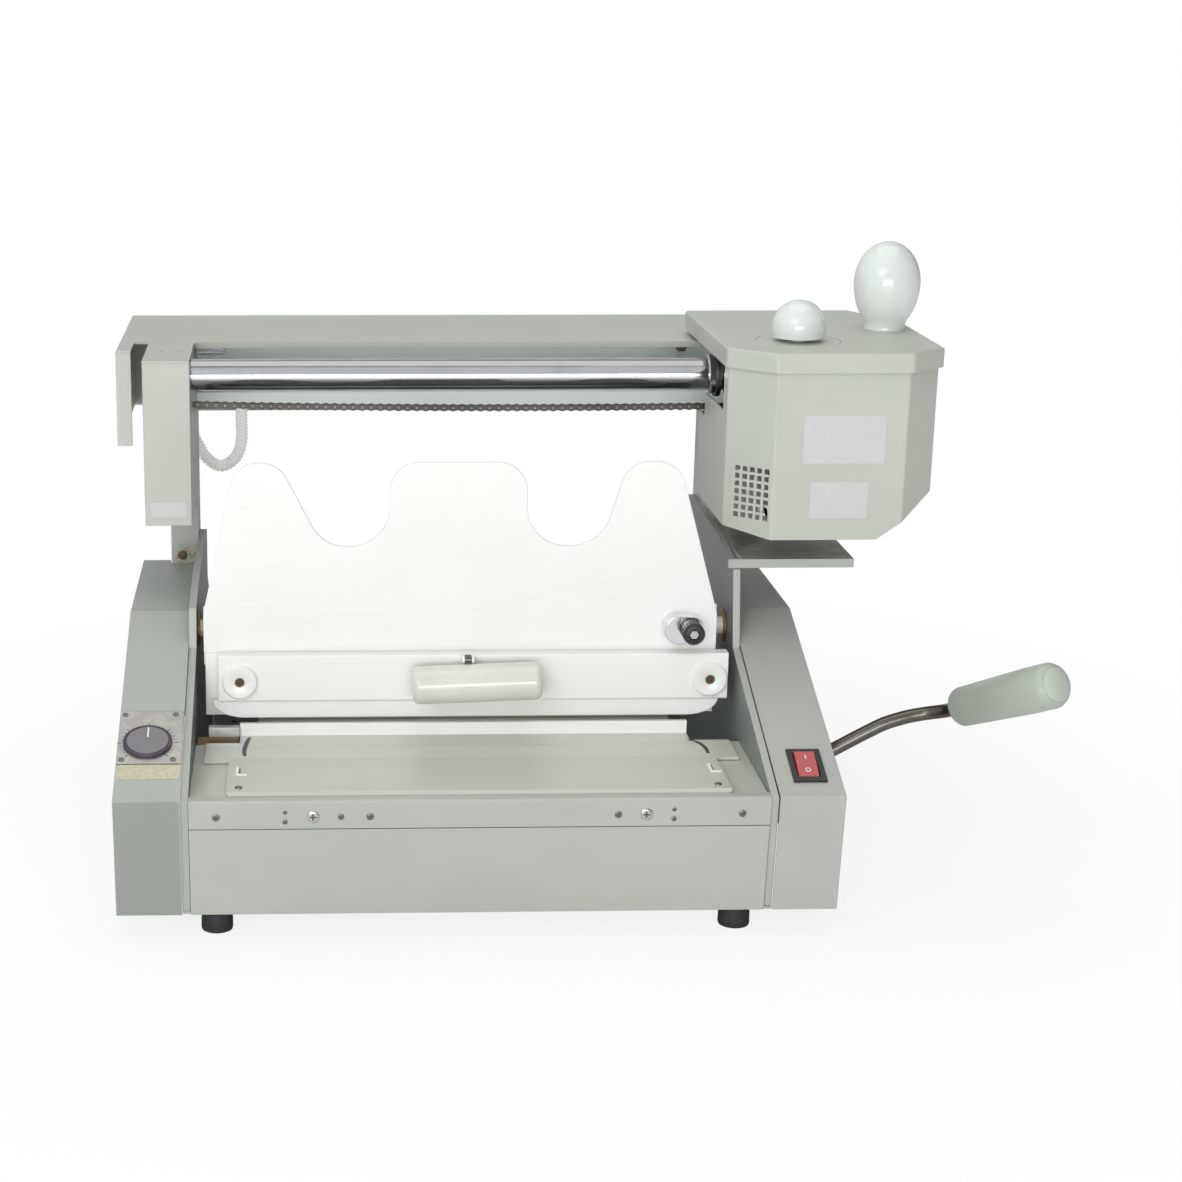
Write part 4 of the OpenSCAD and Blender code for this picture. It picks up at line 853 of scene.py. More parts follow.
class BINDER_OT_table(Piecework):
    """Deck, lay plate, nip plate and the jaw behind it"""
    bl_idname = "binder.table"
    bl_label = "Nipping table"

    def build(self):
        dress("table_deck", "table", "chassis", 0.3)
        dress("rear_nip_jaw", "table", "chassis", 0.35)
        dress("lay_plate", "table", "chassis", 0.3,
              lambda mid, way: abs(way.z) > 0.9 and mid.y < 30, 3.0)
        strip = FOLD_Z + 4.2
        # The nip plate's top takes the lighter copy of the table coat: painted light.
        dress("nip_plate", ["nip_top_lit", "jaw"], "nip", 0.3,
              second=lambda mid, way: way.y < -0.5 and mid.z > strip)
        self.marks()
        self.blocks()

    def marks(self):
        top = span("lay_plate")[1].z
        # Each tab is a raised L in white, a painted highlight on its edge, beside a flat dark L, its painted
        # shadow.
        tab_light_and_shade = Shape()
        for x in (-147.5, 151.0):
            tab_light_and_shade.slot = 0
            tab_light_and_shade.prism([(x - 3.4, 40), (x - 3.4, 54), (x - 1.6, 54), (x - 1.6, 42), (x + 3.6, 42),
                        (x + 3.6, 40)],
                       top - 0.2, top + 0.7)
            tab_light_and_shade.slot = 1
            tab_light_and_shade.prism([(x - 1.4, 43), (x - 1.4, 53), (x - 0.4, 53), (x - 0.4, 44.2), (x + 3.4, 44.2),
                        (x + 3.4, 43)],
                       top - 0.2, top + 0.06)
        piece("lay_tabs", tab_light_and_shade, ["clamp", "dark_ink"], "chassis", flip=True)
        top = span("nip_plate")[0].z + 2.0
        # The curved slots are dark ribbons on the plate: painted shade for the slits.
        slot_shades = Shape()
        for line in (((-143.6, 119), (-144.8, 112), (-146.2, 100), (-146.6, 90), (-146.0, 82)),
                     ((145.0, 108), (149.5, 104), (152.4, 97), (153.6, 89), (153.4, 81))):
            mid = curve_through([(x, y, 0) for x, y in line], 5)
            left, right = [], []
            for i, p in enumerate(mid):
                t = (mid[min(i + 1, len(mid) - 1)] - mid[max(i - 1, 0)]).normalized()
                n = Vector((-t.y, t.x, 0)) * (1.0 + 0.5 * math.sin(math.pi * i / (len(mid) - 1)))
                left.append((p + n)[:2])
                right.append((p - n)[:2])
            slot_shades.prism(left + right[::-1], FOLD_Z - 0.3, FOLD_Z + 0.06)
        piece("curved_slots", slot_shades, "dark_ink", "nip", flip=True)

    def blocks(self):
        s = Shape().block((-171, 118, FOLD_Z), (-150, 124.8, FOLD_Z + 7))
        piece("nip_end_block", s, "zinc", "nip", edge=0.7)
        s = Shape().block((-178.5, 111, 84), (-151, 128, 90.6))
        piece("nip_guide_bar", s, "bronze", "chassis", edge=0.6)


class BINDER_OT_controls(Piecework):
    """Thermostat with its dial, and the power switch"""
    bl_idname = "binder.controls"
    bl_label = "Controls"

    def build(self):
        self.thermostat()
        self.switch()

    def thermostat(self):
        dress("thermostat_plate", "film", "chassis", 0.3)
        paint("thermostat_body", "black")
        cap = Shape()
        n = cap.count()
        cap.turned([(0, 0), (15.2, 0), (15.5, 0.3), (15.5, 1.3), (15.1, 1.8), (13.9, 1.9), (13.7, 1.6),
                    (0, 1.6)], (0, 0, 0), around=72)
        cap.slot = 1
        cap.turned([(0, 1.4), (13.3, 1.4), (13.3, 1.9), (13.0, 2.1), (0, 2.1)], (0, 0, 0), around=64)
        cap.slot = 2
        cap.block((-0.5, 3.0, 2.0), (0.5, 12.4, 2.2))
        cap.tilt(*DIAL_AT, 1.5, n)
        piece("dial_knob", cap, ["dial_rim", "dial", "ink"], "dial", ("thermostat_dial",),
              edge=0.12)
        self.scale()

    def scale(self):
        ticks = Shape()
        for i in range(25):
            a = math.radians(225 - 270 * i / 24)
            long = i % 4 == 0
            n = ticks.count()
            r0, r1, w = 16.6, (19.2 if long else 18.0), (0.32 if long else 0.2)
            u, v = Vector((math.cos(a), math.sin(a), 0)), Vector((-math.sin(a), math.cos(a), 0))
            corners = [u * r0 - v * w, u * r1 - v * w, u * r1 + v * w, u * r0 + v * w]
            ticks.solid([[c + Vector((0, 0, h)) for c in corners] for h in (1.1, 1.26)])
            ticks.tilt(*DIAL_AT, 0, n)
        piece("dial_scale", ticks, "dark_ink", "chassis", flip=True)
        dots = [on_slope(x, y, 1.15) for x in (-221.5, -189.5) for y in (36.5, 78.5)]
        screws("plate_screws", dots, (SLOPE, 0, 0), "chassis", 1.9, 0.7)
        strip = Shape()
        n = strip.count()
        strip.prism(rounded(39.6, 13.4, 0.6, cx=0, cy=0), 0.0, 0.35)
        strip.tilt(-204.6, 26.2, 0, n)
        piece("aged_strip", strip, "tape", "chassis", flip=True)

    def switch(self):
        dress("switch_bezel", "black", "chassis", 0.3)
        dress("power_rocker", "red", "rocker", 0.5, segments=3)
        marks = Shape()
        for y, make in ((5.6, "bar"), (-5.4, "ring")):
            n = marks.count()
            rise = 2.72 + (y / 11.0) * (1.0 if y > 0 else 1.6)
            if make == "bar":
                marks.block((-0.35, -1.7, 0), (0.35, 1.7, 0.12))
            else:
                marks.solid([[Vector((r * math.cos(a), r * math.sin(a), h)) for a in
                              (2 * math.pi * k / 24 for k in range(24))] for r, h in
                             ((1.7, 0), (1.7, 0.12), (1.15, 0.12), (1.15, 0))], closed=True)
            lean = math.atan2(1.0, 11.0) if y > 0 else math.atan2(1.6, 11.0)
            place = (Matrix.Translation(on_slope(*SWITCH_AT)) @ Matrix.Rotation(SLOPE, 4, "X")
                     @ Matrix.Translation((0, y, rise)) @ Matrix.Rotation(lean, 4, "X"))
            for v in list(marks.bm.verts)[n:]:
                v.co = place @ v.co
        piece("rocker_marks", marks, "ink", "rocker", flip=True)


class BINDER_OT_clamp(Piecework):
    """Page clamp with its plate, bar, jaws, pins and side stop"""
    bl_idname = "binder.clamp"
    bl_label = "Page clamp"

    def build(self):
        dress("clamp_plate", "clamp", "clamp_frame", 0.5, segments=3)
        dress("clamp_arms", "clamp", "clamp_frame", 0.4)
        dress("rear_jaw", "clamp", "clamp_frame", 0.4)
        dress("guide_bushes", "zinc", "clamp_frame", 0.4)
        dress("clamp_bar", "clamp", "clamp_jaw", 0.5, segments=3)
        dress("front_jaw", "jaw", "clamp_jaw", 0.5)
        dress("pivot_bushes", "bronze", "chassis", 0.4)
        self.pins()
        self.stop()

    def pins(self):
        low, high = span("guide_pins")
        xs = (low.x + 11.5, high.x - 11.5)
        z = (low.z + high.z) / 2
        pins = Shape()
        for x in xs:
            pins.slot = 0
            pins.turned([(3.2, 2.9), (3.2, 0.3), (3.6, 0.0), (10.6, 0.0), (11.5, 0.8), (11.5, 3.0),
                         (5.0, 3.0),
                         (5.0, high.y - low.y - 1), (4.2, high.y - low.y), (0, high.y - low.y)],
                        (x, low.y, z), (0, 1, 0))
            pins.slot = 1
            corners = [math.radians(60 * k + 30) for k in range(6)]
            ring = lambda r, y: [(x + r * math.cos(a), y, z + r * math.sin(a)) for a in corners]
            socket = ((3.05, 3), (3.05, 0.9), (1.6, 0.9), (1.6, 2.6))
            pins.solid([ring(r, low.y + depth) for r, depth in socket], caps=False)
            pins._face([pins.bm.verts.new(p) for p in ring(1.6, low.y + 2.6)])
        piece("guide_pin_pair", pins, ["clamp", "rust"], "clamp_jaw", ("guide_pins",),
              flip=True)

    def stop(self):
        dress("side_stop", "chrome", "clamp_frame", 0.6, segments=3)
        k0, k1 = span("stop_knob")
        x, z = (k0.x + k1.x) / 2, (k0.z + k1.z) / 2
        length = k1.y - k0.y
        knob = Shape()
        knob.turned([(2.6, length), (6.4, length), (6.7, length - 0.5), (6.7, 1.2), (6.0, 0.3), (3.5, 0),
                     (3.3, 1.6), (0, 1.6)],
                    (x, k0.y, z), (0, 1, 0))
        piece("stop_knob_core", knob, "black", "stop_wheel", ("stop_knob",), flip=True)
        rib = Shape()
        rib.block((-0.55, 0.8, 6.3), (0.55, length - 0.8, 7.25))
        turns = [(0, math.radians(a), 0) for a in range(0, 360, 15)]
        stamped("stop_knob_ribs", rib, [(x, k0.y, z)] * len(turns), "black", "stop_wheel",
                turns)
        eye = Shape()
        eye.turned([(0, 0.5), (1.4, 0.5), (1.5, 0.1), (2.9, 0.1), (2.9, 1.5), (0, 1.5)], (x, k0.y, z),
                   (0, 1, 0), 6)
        piece("stop_knob_eye", eye, "bright_screw", "stop_wheel", flip=True)


class BINDER_OT_handle(Piecework):
    """Swinging handle of the page clamp"""
    bl_idname = "binder.handle"
    bl_label = "Clamp handle"

    def build(self):
        r, length, lean = 12.5, 85.0, math.radians(2)
        hinge = Vector((0, 121.5, 145))
        middle = Vector((5.5, 113.3, 131.4))
        way = Vector((math.cos(lean), 0, math.sin(lean)))
        end = [(0.0, 0.0), (r - 5.2, 0.0), (r - 3.2, 0.35), (r - 1.6, 1.3), (r - 0.5, 2.8), (r, 5.0)]
        body = end + [(r, length - 5.0)] + [(a, length - b) for a, b in end[::-1][1:]]
        s = Shape()
        s.turned(body, middle - way * length / 2, way, 64)
        s.slot = 1
        s.turned([(1.7, 0), (3.2, 0), (3.2, 4), (1.7, 4)], hinge - Vector((2, 0, 0)), (1, 0, 0), 32)
        s.prism([(hinge.y - 3.0, hinge.z - 1.0), (hinge.y - 6.5, hinge.z - 8), (hinge.y - 1.0, hinge.z - 9),
                 (hinge.y + 2.9, hinge.z - 1.2), (hinge.y, hinge.z - 2.4)], -2, 2, "x")
        piece("swing_handle", s, ["handle", "lever_rod"], "handle", ("clamp_handle",),
              edge=0.25, flip=True)


class BINDER_OT_beam(Piecework):
    """Beam, end cap, post and uprights"""
    bl_idname = "binder.beam"
    bl_label = "Beam and post"

    def build(self):
        top = span("beam_cover")[1].z
        dress("beam_cover", "beam_top", "chassis", 0.3,
              lambda mid, way: mid.z > top - 0.2 and (mid.y > 430 or mid.x > 320 or mid.x < -236), 1.4)
        dress("beam_end_cap", "beam", "chassis", 0.4)
        dress("post_cover", "beam", "chassis", 0.35,
              lambda mid, way: abs(way.z) > 0.9 and mid.x < -215, 1.4)
        dress("left_upright", "column", "chassis", 0.5)
        dress("right_upright", "beam", "chassis", 0.5)
        dress("beam_channel", "channel", "chassis", 0.6)
        dress("rod_blocks", "dark_steel", "chassis", 0.6)
        dress("conduit_glands", "hose", "chassis", 0.8)
        s = Shape()
        s.prism(rounded(24.5, 10.6, 0.8, cx=-199.4, cy=223.1), 220.25, 220.7, "y")
        piece("post_label", s, "label", "chassis", edge=0.1, flip=True)
        back = span("beam_cover")[1].y
        spots = [(x, back - 1.2, 268) for x in (-200, -70, 60, 190, 290)]
        screws("beam_screws", spots, FACING_BACK, "chassis", 2.8, 1.15)
        spots = [(x, 262, top - 1.1) for x in (-205, -191)]
        screws("post_screws", spots, (0, 0, 0), "chassis", 2.4, 1.08)


class BINDER_OT_guide(Piecework):
    """Guide rod and the sagging drive chain"""
    bl_idname = "binder.guide"
    bl_label = "Rod and chain"

    def build(self):
        low, high = span("guide_rod")
        y, z, r = (low.y + high.y) / 2, (low.z + high.z) / 2, (high.z - low.z) / 2
        rod = Shape()
        rod.turned([(0, 0), (r - 1, 0), (r, 1), (r, high.x - low.x - 1), (r - 1, high.x - low.x),
                    (0, high.x - low.x)],
                   (low.x, y, z), (1, 0, 0), 96)
        piece("ground_guide_rod", rod, "rod", "chassis", ("guide_rod",), flip=True)
        self.chain()
        self.collar(y, z, r)

    def collar(self, y, z, r):
        """The bright ring where the rod enters the glue box, and small fittings beside the rod's ends."""
        s = Shape()
        s.turned([(r + 0.3, 0), (r + 1.9, 0), (r + 2.3, 0.5), (r + 2.3, 4.6), (r + 1.9, 5.0), (r + 0.3, 5.0)],
                 (171.8, y, z), (1, 0, 0), 64)
        s.slot = 1
        s.turned([(r + 0.3, 5.0), (r + 4.5, 5.0), (r + 4.5, 8.4), (r + 0.3, 8.4)], (171.8, y, z), (1, 0, 0),
                 64)
        piece("rod_collar", s, ["chrome", "dark_steel"], "carriage", flip=True)
        s = Shape().block((-183.5, 304, 316.5), (-163, 318, 318.5))
        s.block((-183.5, 304, 318.5), (-163, 305.5, 324))
        piece("rod_clip", s, "chrome", "chassis", edge=0.5)
        s = Shape()
        s.turned([(0, 0), (4.6, 0), (5.0, 0.5), (5.0, 5.4), (4.4, 6), (0, 6)], (168.5, 334, 317.5), (0, 1, 0),
                 6)
        s.turned([(0, 0), (3.8, 0), (4.2, 0.5), (4.2, 5), (0, 5)], (168.5, 335, 303), (0, 1, 0), 24)
        piece("channel_bolts", s, "dark_steel", "chassis", edge=0.3, flip=True)

    def chain(self):
        low, high = span("drive_chain")
        y = (low.y + high.y) / 2
        ends_z, sag = high.z - 2.75, 3.0
        length = high.x - low.x
        pitch = sizes().chain_pitch / MM
        count = int(length / pitch)
        pitch = length / count
        drop = lambda x: ends_z - 4 * sag * ((x - low.x) / length) * (1 - (x - low.x) / length)

        def link(half_gap, thick, height):
            s = Shape()
            outline = []
            for i in range(17):
                a = math.radians(-90 + 180 * i / 16)
                outline.append((pitch / 2 + height / 2 * math.cos(a), height / 2 * math.sin(a)))
            waist = [(0, height * 0.34)]
            outline += waist
            for i in range(17):
                a = math.radians(90 + 180 * i / 16)
                outline.append((-pitch / 2 + height / 2 * math.cos(a), height / 2 * math.sin(a)))
            outline += [(0, -height * 0.34)]
            for side in (-1, 1):
                a, b = sorted((side * half_gap, side * (half_gap + thick)))
                s.prism(outline, a, b, "y")
            return s

        def spots(first):
            xs = [low.x + pitch * (i + 0.5) for i in range(first, count, 2)]
            turns = [(0, -math.atan2(drop(x + 1) - drop(x - 1), 2), 0) for x in xs]
            return [(x, y, drop(x)) for x in xs], turns

        places, turns = spots(0)
        stamped("chain_inner_links", link(1.05, 0.45, 4.9), places, "chain", "chassis", turns,
                ("drive_chain",))
        places, turns = spots(1)
        stamped("chain_outer_links", link(1.55, 0.42, 4.7), places, "chain", "chassis", turns)
        xs = [low.x + pitch * i for i in range(1, count)]
        roller = Shape()
        roller.turned([(0, -1.0), (1.6, -1.0), (1.6, 1.0), (0, 1.0)], (0, 0, 0), (0, 1, 0), 14)
        roller.turned([(0, -2.15), (0.8, -2.15), (0.8, 2.15), (0, 2.15)], (0, 0, 0), (0, 1, 0), 10)
        stamped("chain_rollers", roller, [(x, y, drop(x)) for x in xs], "screw", "chassis")


class BINDER_OT_hose(Piecework):
    """Corrugated conduit hanging behind the post"""
    bl_idname = "binder.hose"
    bl_label = "Conduit"

    def build(self):
        route = [(-152.6, 352, 292), (-152.6, 352, 276), (-152.6, 352, 260), (-152.8, 352, 245),
                 (-157, 352, 232.5),
                 (-167.5, 353, 225.5), (-178, 354, 230.5), (-186, 356, 243), (-190.5, 358, 255),
                 (-191.5, 358, 264)]
        path = curve_through(route, 24)
        length, marks = 0.0, [0.0]
        for a, b in zip(path, path[1:]):
            length += (b - a).length
            marks.append(length)
        pitch = sizes().hose_pitch / MM
        radii = [4.2 + 0.4 * math.sin(2 * math.pi * m / pitch) for m in marks]
        s = Shape().tube(path, radii, 28)
        hose = piece("ribbed_conduit", s, "hose", "chassis", ("conduit_hose",), smooth=60,
                     flip=True)


class BINDER_OT_glue_box(Piecework):
    """Glue box shell, lid, labels and what is inside"""
    bl_idname = "binder.glue_box"
    bl_label = "Glue box"

    def build(self):
        low, high = span("box_shell")
        fold = lambda mid: mid.y < low.y + 33 or mid.x > high.x - 2 or mid.x < low.x + 1
        upright = lambda mid, way: abs(way.z) > 0.9 and fold(mid)
        dress("box_shell", "box", "carriage", 0.25, upright, 2.2)
        lid_top = span("box_lid")[1].z

        def rim(mid, way):
            outline = abs(way.z) > 0.9
            top = mid.z > lid_top - 0.2 and (mid - Vector((224.5, 203, mid.z))).length > 30
            return outline or top

        dress("box_lid", "box", "carriage", 0.3, rim, 1.8)
        dress("carriage_plate", "zinc", "carriage", 0.3)
        dress("rod_bushes", "chrome", "carriage", 0.5)
        dress("glue_tank", "cast", "carriage", 0.8)
        dress("guide_arm", "dark_steel", "carriage", 0.5)
        dress("drive_belt", "soft_black", "carriage", 0.3)
        dress("heater_rod", "sheath", "carriage", 0.4)
        dress("glue_roller", "roller", "roller", 0.5)
        dress("chain_sprocket", "dark_steel", "sprocket", 0.25)
        self.labels(low)
        self.rivets(high)

    def labels(self, low):
        front = span("blank_labels")[0].y
        s = Shape()
        s.prism(rounded(54.6, 32.4, 1.2, cx=low.x + 74.1, cy=low.z + 67.8), front, front + 0.3, "y")
        s.prism(rounded(38.5, 25.0, 1.6, cx=low.x + 72.25, cy=low.z + 27.0), front, front + 0.3, "y")
        piece("plain_labels", s, "label", "carriage", ("blank_labels",), edge=0.08, flip=True)

    def rivets(self, high):
        spots = [(high.x + 2.9, y, span("box_lid")[0].z + 6.5) for y in (200, 262)]
        screws("lid_screws", spots, FACING_RIGHT, "carriage", 2.0, 0.1, recess=0.7)


class BINDER_OT_knobs(Piecework):
    """Egg-shaped handle and the dome knob on the filler cap"""
    bl_idname = "binder.knobs"
    bl_label = "Knobs"

    def build(self):
        low, high = span("egg_handle")
        x, y = (low.x + high.x) / 2, (low.y + high.y) / 2
        r, h = (high.x - low.x) / 2, high.z - low.z
        middle = 0.53 * h
        arc = lambda rise, degrees: [(r * math.cos(math.radians(d)),
                                      middle + rise * math.sin(math.radians(d)))
                                     for d in degrees]
        side = [(0, 0), (0.63 * r, 0), (0.61 * r, 2), (0.62 * r, 4)]
        side += arc(1.06 * middle, range(-48, 1, 6)) + arc(h - middle, range(6, 90, 6)) + [(0, h)]
        s = Shape().turned(side, (x, y, low.z), around=72)
        piece("egg_knob", s, "knob", "carriage", ("egg_handle",), smooth=50, flip=True)
        low, high = span("dome_knob")
        x, y = (low.x + high.x) / 2, (low.y + high.y) / 2
        r, h = (high.x - low.x) / 2, high.z - low.z
        dome = [(r * math.cos(math.radians(d)), r * (0.52 + math.sin(math.radians(d))))
                for d in range(-14, 90, 6)]
        s = Shape().turned([(0, 0), (5.5, 0), (5.5, 2.6), (r - 1, 2.6)] + dome + [(0, h)], (x, y, low.z),
                           around=72)
        piece("dome_button", s, "knob", "filler", ("dome_knob",), smooth=50, flip=True)
        dress("filler_cap", "box", "filler", 0.4)


class BINDER_OT_tray(Piecework):
    """Drip tray under the parked glue box"""
    bl_idname = "binder.tray"
    bl_label = "Drip tray"

    def build(self):
        front = span("drip_tray")[0].y + 0.1
        # The tray's front lip takes the darker copy of the box coat: painted shade.
        dress("drip_tray", ["tray", "tray_lip_shade"], "chassis", 0.3, second=lambda mid,
              way: mid.y < front)


class BINDER_OT_lever(Piecework):
    """Side lever with its bent rod and grip"""
    bl_idname = "binder.lever"
    bl_label = "Side lever"

    def build(self):
        dress("lever_bearing", "dark_steel", "chassis", 0.5)
        low = span("side_lever")[0]
        y = 100.0
        grip = Vector((316.0, 80.0, 123.6))
        lie, rise = math.radians(62), math.radians(25.4)
        way = Vector((math.cos(rise) * math.cos(lie), -math.cos(rise) * math.sin(lie), math.sin(rise)))
        path = curve_through([(205, y, 68.8), (222, y, 78.4), (240, y, 88.6), (256, y, 97.6), (264, y, 101.9),
                              (272, y, 105.9),
                              (283.3, y, 109.6), (292, y, 111.6), (300, y - 1.4, 113.4), grip + way * -15.3,
                              grip + way * -6, grip + way * 8], 6)
        s = Shape()
        s.tube(path, 4.5, 28)
        hub = Vector((200, 100, 0))
        s.turned([(0, low.z), (5.6, low.z), (6.0, low.z + 0.5), (6.0, 58.6), (10.4, 58.6), (11.0, 59.2),
                  (11.0, 80.4),
                  (10.4, 81.0), (0, 81.0)], hub, around=48)
        pin_x = low.x + 5
        outline = [(200, 95), (200, 105)] + [
            (pin_x + 5 * math.cos(math.radians(a)),
             100 + 5 * math.sin(math.radians(a))) for a in range(90, 271, 15)]
        s.prism(outline, 76, 81)
        s.turned([(0, 80), (3, 80), (3, 86.8), (2.5, 87.3), (0, 87.3)], (pin_x, 100, 0), around=24)
        piece("bent_lever", s, "lever_rod", "lever", ("side_lever",), edge=0.3, flip=True)
        r, n = 14.5, 88.0
        profile = [(0, 1.2), (4.3, 1.2), (4.6, 0.0), (r - 4.6, 0.0), (r - 2.6, 0.6), (r - 1.7, 2.2),
                   (r, n * 0.7),
                   (r, n - 6.5), (r - 0.7, n - 5.1), (r - 1.2, n - 4.0), (r - 2.5, n - 2.5),
                   (r - 4.0, n - 1.4),
                   (r - 6.0, n - 0.8), (r - 8.0, n - 0.2), (0, n)]
        s = Shape().turned(profile, grip, way, 72)
        # Faces at the far end of the grip take the lighter copy: painted light.
        for face in s.bm.faces:
            face.material_index = int((face.calc_center_median() - grip).dot(way) > n - 1.5)
        piece("lever_handgrip", s, ["grip", "grip_end_lit"], "lever", ("lever_grip",), smooth=50,
              flip=True)


class BINDER_OT_stage(Piecework):
    """Camera, floor, lamps and world"""
    bl_idname = "binder.stage"
    bl_label = "Stage"

    def build(self):
        self.camera()
        self.floor()
        self.lamps()
        self.world()

    def camera(self):
        data = bpy.data.cameras.new("front_camera")
        data.sensor_width = 36.0
        data.lens = 69.2
        data.shift_x, data.shift_y = 0.1895, 0.0118
        data.clip_start, data.clip_end = 0.05, 60
        eye = bpy.data.objects.new("front_camera", data)
        bpy.context.scene.collection.objects.link(eye)
        right = Vector((0.99957546, -0.02904297, 0.00232397))
        down = Vector((-0.00561484, -0.27028535, -0.96276389))
        ahead = Vector((0.02858966, 0.96234211, -0.27033367))
        turn = Matrix((right, -down, -ahead)).transposed()
        eye.matrix_world = Matrix.Translation(at(-108.7, -1301.2, 582.2)) @ turn.to_4x4()
        bpy.context.scene.camera = eye

    def floor(self):
        mesh = bpy.data.meshes.new("floor")
        mesh.from_pydata([(-8, -8, 0), (8, -8, 0), (8, 8, 0), (-8, 8, 0)], [], [(0, 1, 2, 3)])
        obj = bpy.data.objects.new("floor", mesh)
        bpy.context.scene.collection.objects.link(obj)
        material = bpy.data.materials.new("pale_floor")
        material.use_nodes = True
        tree = material.node_tree
        shader = tree.nodes["Principled BSDF"]
        shader.inputs["Base Color"].default_value = (0.93, 0.93, 0.925, 1)
        shader.inputs["Roughness"].default_value = 0.85
        glow = tree.nodes.new("ShaderNodeEmission")
        glow.inputs[0].default_value = (1, 1, 1, 1)
        glow.inputs[1].default_value = 1.0
        rays = tree.nodes.new("ShaderNodeLightPath")
        place = tree.nodes.new("ShaderNodeTexCoord")
        away = tree.nodes.new("ShaderNodeVectorMath")
        away.operation = "LENGTH"
        fade = tree.nodes.new("ShaderNodeMapRange")
        fade.interpolation_type = "SMOOTHSTEP"
        near, far = 0.25, 0.75
        fade.inputs[1].default_value, fade.inputs[2].default_value = near, far
        fade.inputs[3].default_value, fade.inputs[4].default_value = 0.85, 1.0
        seen = tree.nodes.new("ShaderNodeMath")
        seen.operation = "MULTIPLY"
        tree.links.new(place.outputs["Object"], away.inputs[0])
        tree.links.new(away.outputs["Value"], fade.inputs[0])
        tree.links.new(fade.outputs[0], seen.inputs[1])
        blend = tree.nodes.new("ShaderNodeMixShader")
        tree.links.new(rays.outputs["Is Camera Ray"], seen.inputs[0])
        tree.links.new(seen.outputs[0], blend.inputs[0])
        tree.links.new(shader.outputs[0], blend.inputs[1])
        tree.links.new(glow.outputs[0], blend.inputs[2])
        tree.links.new(blend.outputs[0], tree.nodes["Material Output"].inputs[0])
        mesh.materials.append(material)

    def lamps(self):
        def lamp(name, spot, aim, size, power, colour=(1, 1, 1)):
            data = bpy.data.lights.new(name, "AREA")
            data.shape, data.size, data.size_y = "RECTANGLE", size[0], size[1]
            data.energy, data.color = power, colour
            obj = bpy.data.objects.new(name, data)
            obj.location = spot
            obj.rotation_euler = (Vector(aim) - Vector(spot)).to_track_quat("-Z", "Y").to_euler()
            bpy.context.scene.collection.objects.link(obj)

        lamp("left_key", (-1.15, -2.0, 1.55), (0, 0, 0.2), (1.4, 1.0), 13)
        lamp("low_front", (-0.25, -2.5, 0.42), (0, 0, 0.2), (1.6, 0.5), 21)
        lamp("top_soft", (0.1, 0.3, 2.4), (0, 0.05, 0), (2.2, 1.8), 15, (1.0, 0.985, 0.90))
        lamp("right_fill", (2.3, -0.5, 1.1), (0, 0, 0.2), (1.2, 1.2), 0.6)

    def world(self):
        world = bpy.data.worlds.new("studio")
        bpy.context.scene.world = world
        world.use_nodes = True
        tree = world.node_tree
        def backdrop(colour, strength):
            node = tree.nodes.new("ShaderNodeBackground")
            node.inputs[0].default_value, node.inputs[1].default_value = (*colour, 1), strength
            return node.outputs[0]

        def blend(factor, a, b):
            node = tree.nodes.new("ShaderNodeMixShader")
            for socket, value in zip(node.inputs, (factor, a, b)):
                tree.links.new(value, socket)
            return node.outputs[0]

        tree.nodes.remove(tree.nodes["Background"])
        way, split = tree.nodes.new("ShaderNodeTexCoord"), tree.nodes.new("ShaderNodeSeparateXYZ")
        tree.links.new(way.outputs["Generated"], split.inputs[0])
        turn = tree.nodes.new("ShaderNodeMapRange")
        turn.interpolation_type = "SMOOTHSTEP"
        turn.inputs[1].default_value, turn.inputs[2].default_value = 0.05, 0.85
        tree.links.new(split.outputs[0], turn.inputs[0])
        room = blend(turn.outputs[0], backdrop((0.96, 0.985, 1.0), 0.66), backdrop((0.96, 0.985, 1.0), 0.11))
        rays = tree.nodes.new("ShaderNodeLightPath")
        seen = blend(rays.outputs["Is Camera Ray"], room, backdrop((1, 1, 1), 1.0))
        tree.links.new(seen, tree.nodes["World Output"].inputs[0])
        bpy.context.scene.view_settings.view_transform = "Standard"


OPERATORS = (
    BINDER_OT_stage, BINDER_OT_hose, BINDER_OT_base, BINDER_OT_housings, BINDER_OT_front, BINDER_OT_table,
    BINDER_OT_controls, BINDER_OT_clamp, BINDER_OT_handle, BINDER_OT_beam, BINDER_OT_guide,
    BINDER_OT_glue_box, BINDER_OT_knobs, BINDER_OT_tray, BINDER_OT_lever)


class BINDER_PT_panel(bpy.types.Panel):
    """The machine's sizes, colours and groups of pieces"""
    bl_label = "Glue Binding Machine"
    bl_idname = "BINDER_PT_panel"
    bl_space_type = "VIEW_3D"
    bl_region_type = "UI"
    bl_category = "Binder"

    def draw(self, context):
        column = self.layout.column()
        for group in (context.scene.binder_sizes, context.scene.binder_colours):
            for key in group.__annotations__:
                column.prop(group, key)
        for operator in OPERATORS:
            column.operator(operator.bl_idname)


CLASSES = (BinderColours, BinderSizes) + OPERATORS + (BINDER_PT_panel,)


def register():
    for cls in CLASSES:
        bpy.utils.register_class(cls)
    bpy.types.Scene.binder_colours = bpy.props.PointerProperty(type=BinderColours)
    bpy.types.Scene.binder_sizes = bpy.props.PointerProperty(type=BinderSizes)


def unregister():
    del bpy.types.Scene.binder_colours
    del bpy.types.Scene.binder_sizes
    for cls in reversed(CLASSES):
        bpy.utils.unregister_class(cls)


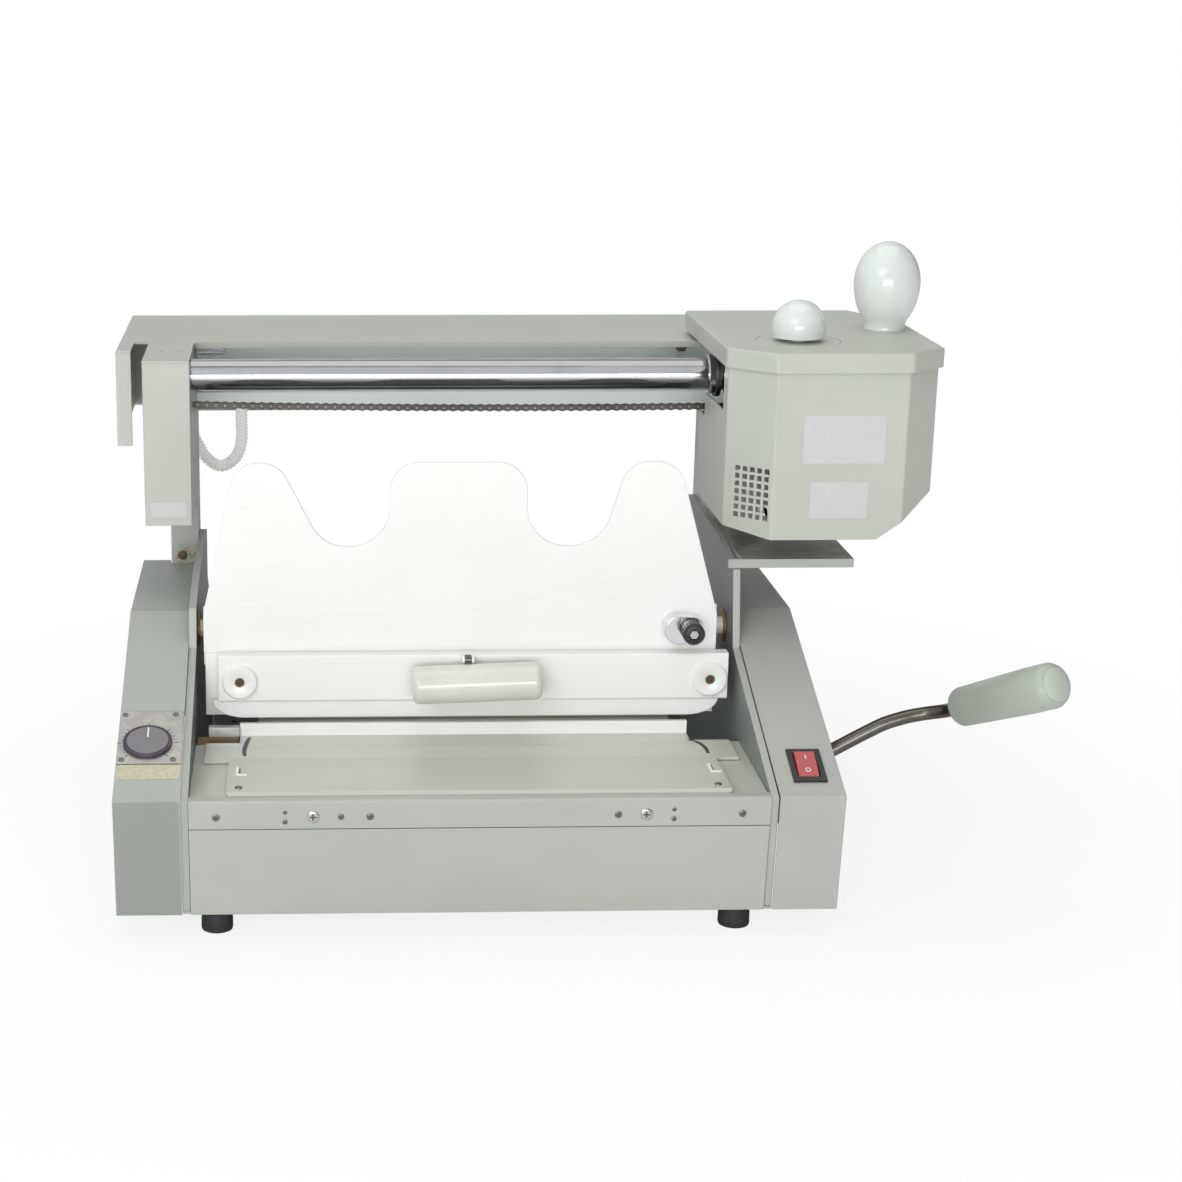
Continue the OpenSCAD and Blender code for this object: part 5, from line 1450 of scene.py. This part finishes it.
def main():
    register()
    for operator in OPERATORS:
        group, name = operator.bl_idname.split(".")
        getattr(getattr(bpy.ops, group), name)()


if __name__ == "__main__":
    main()
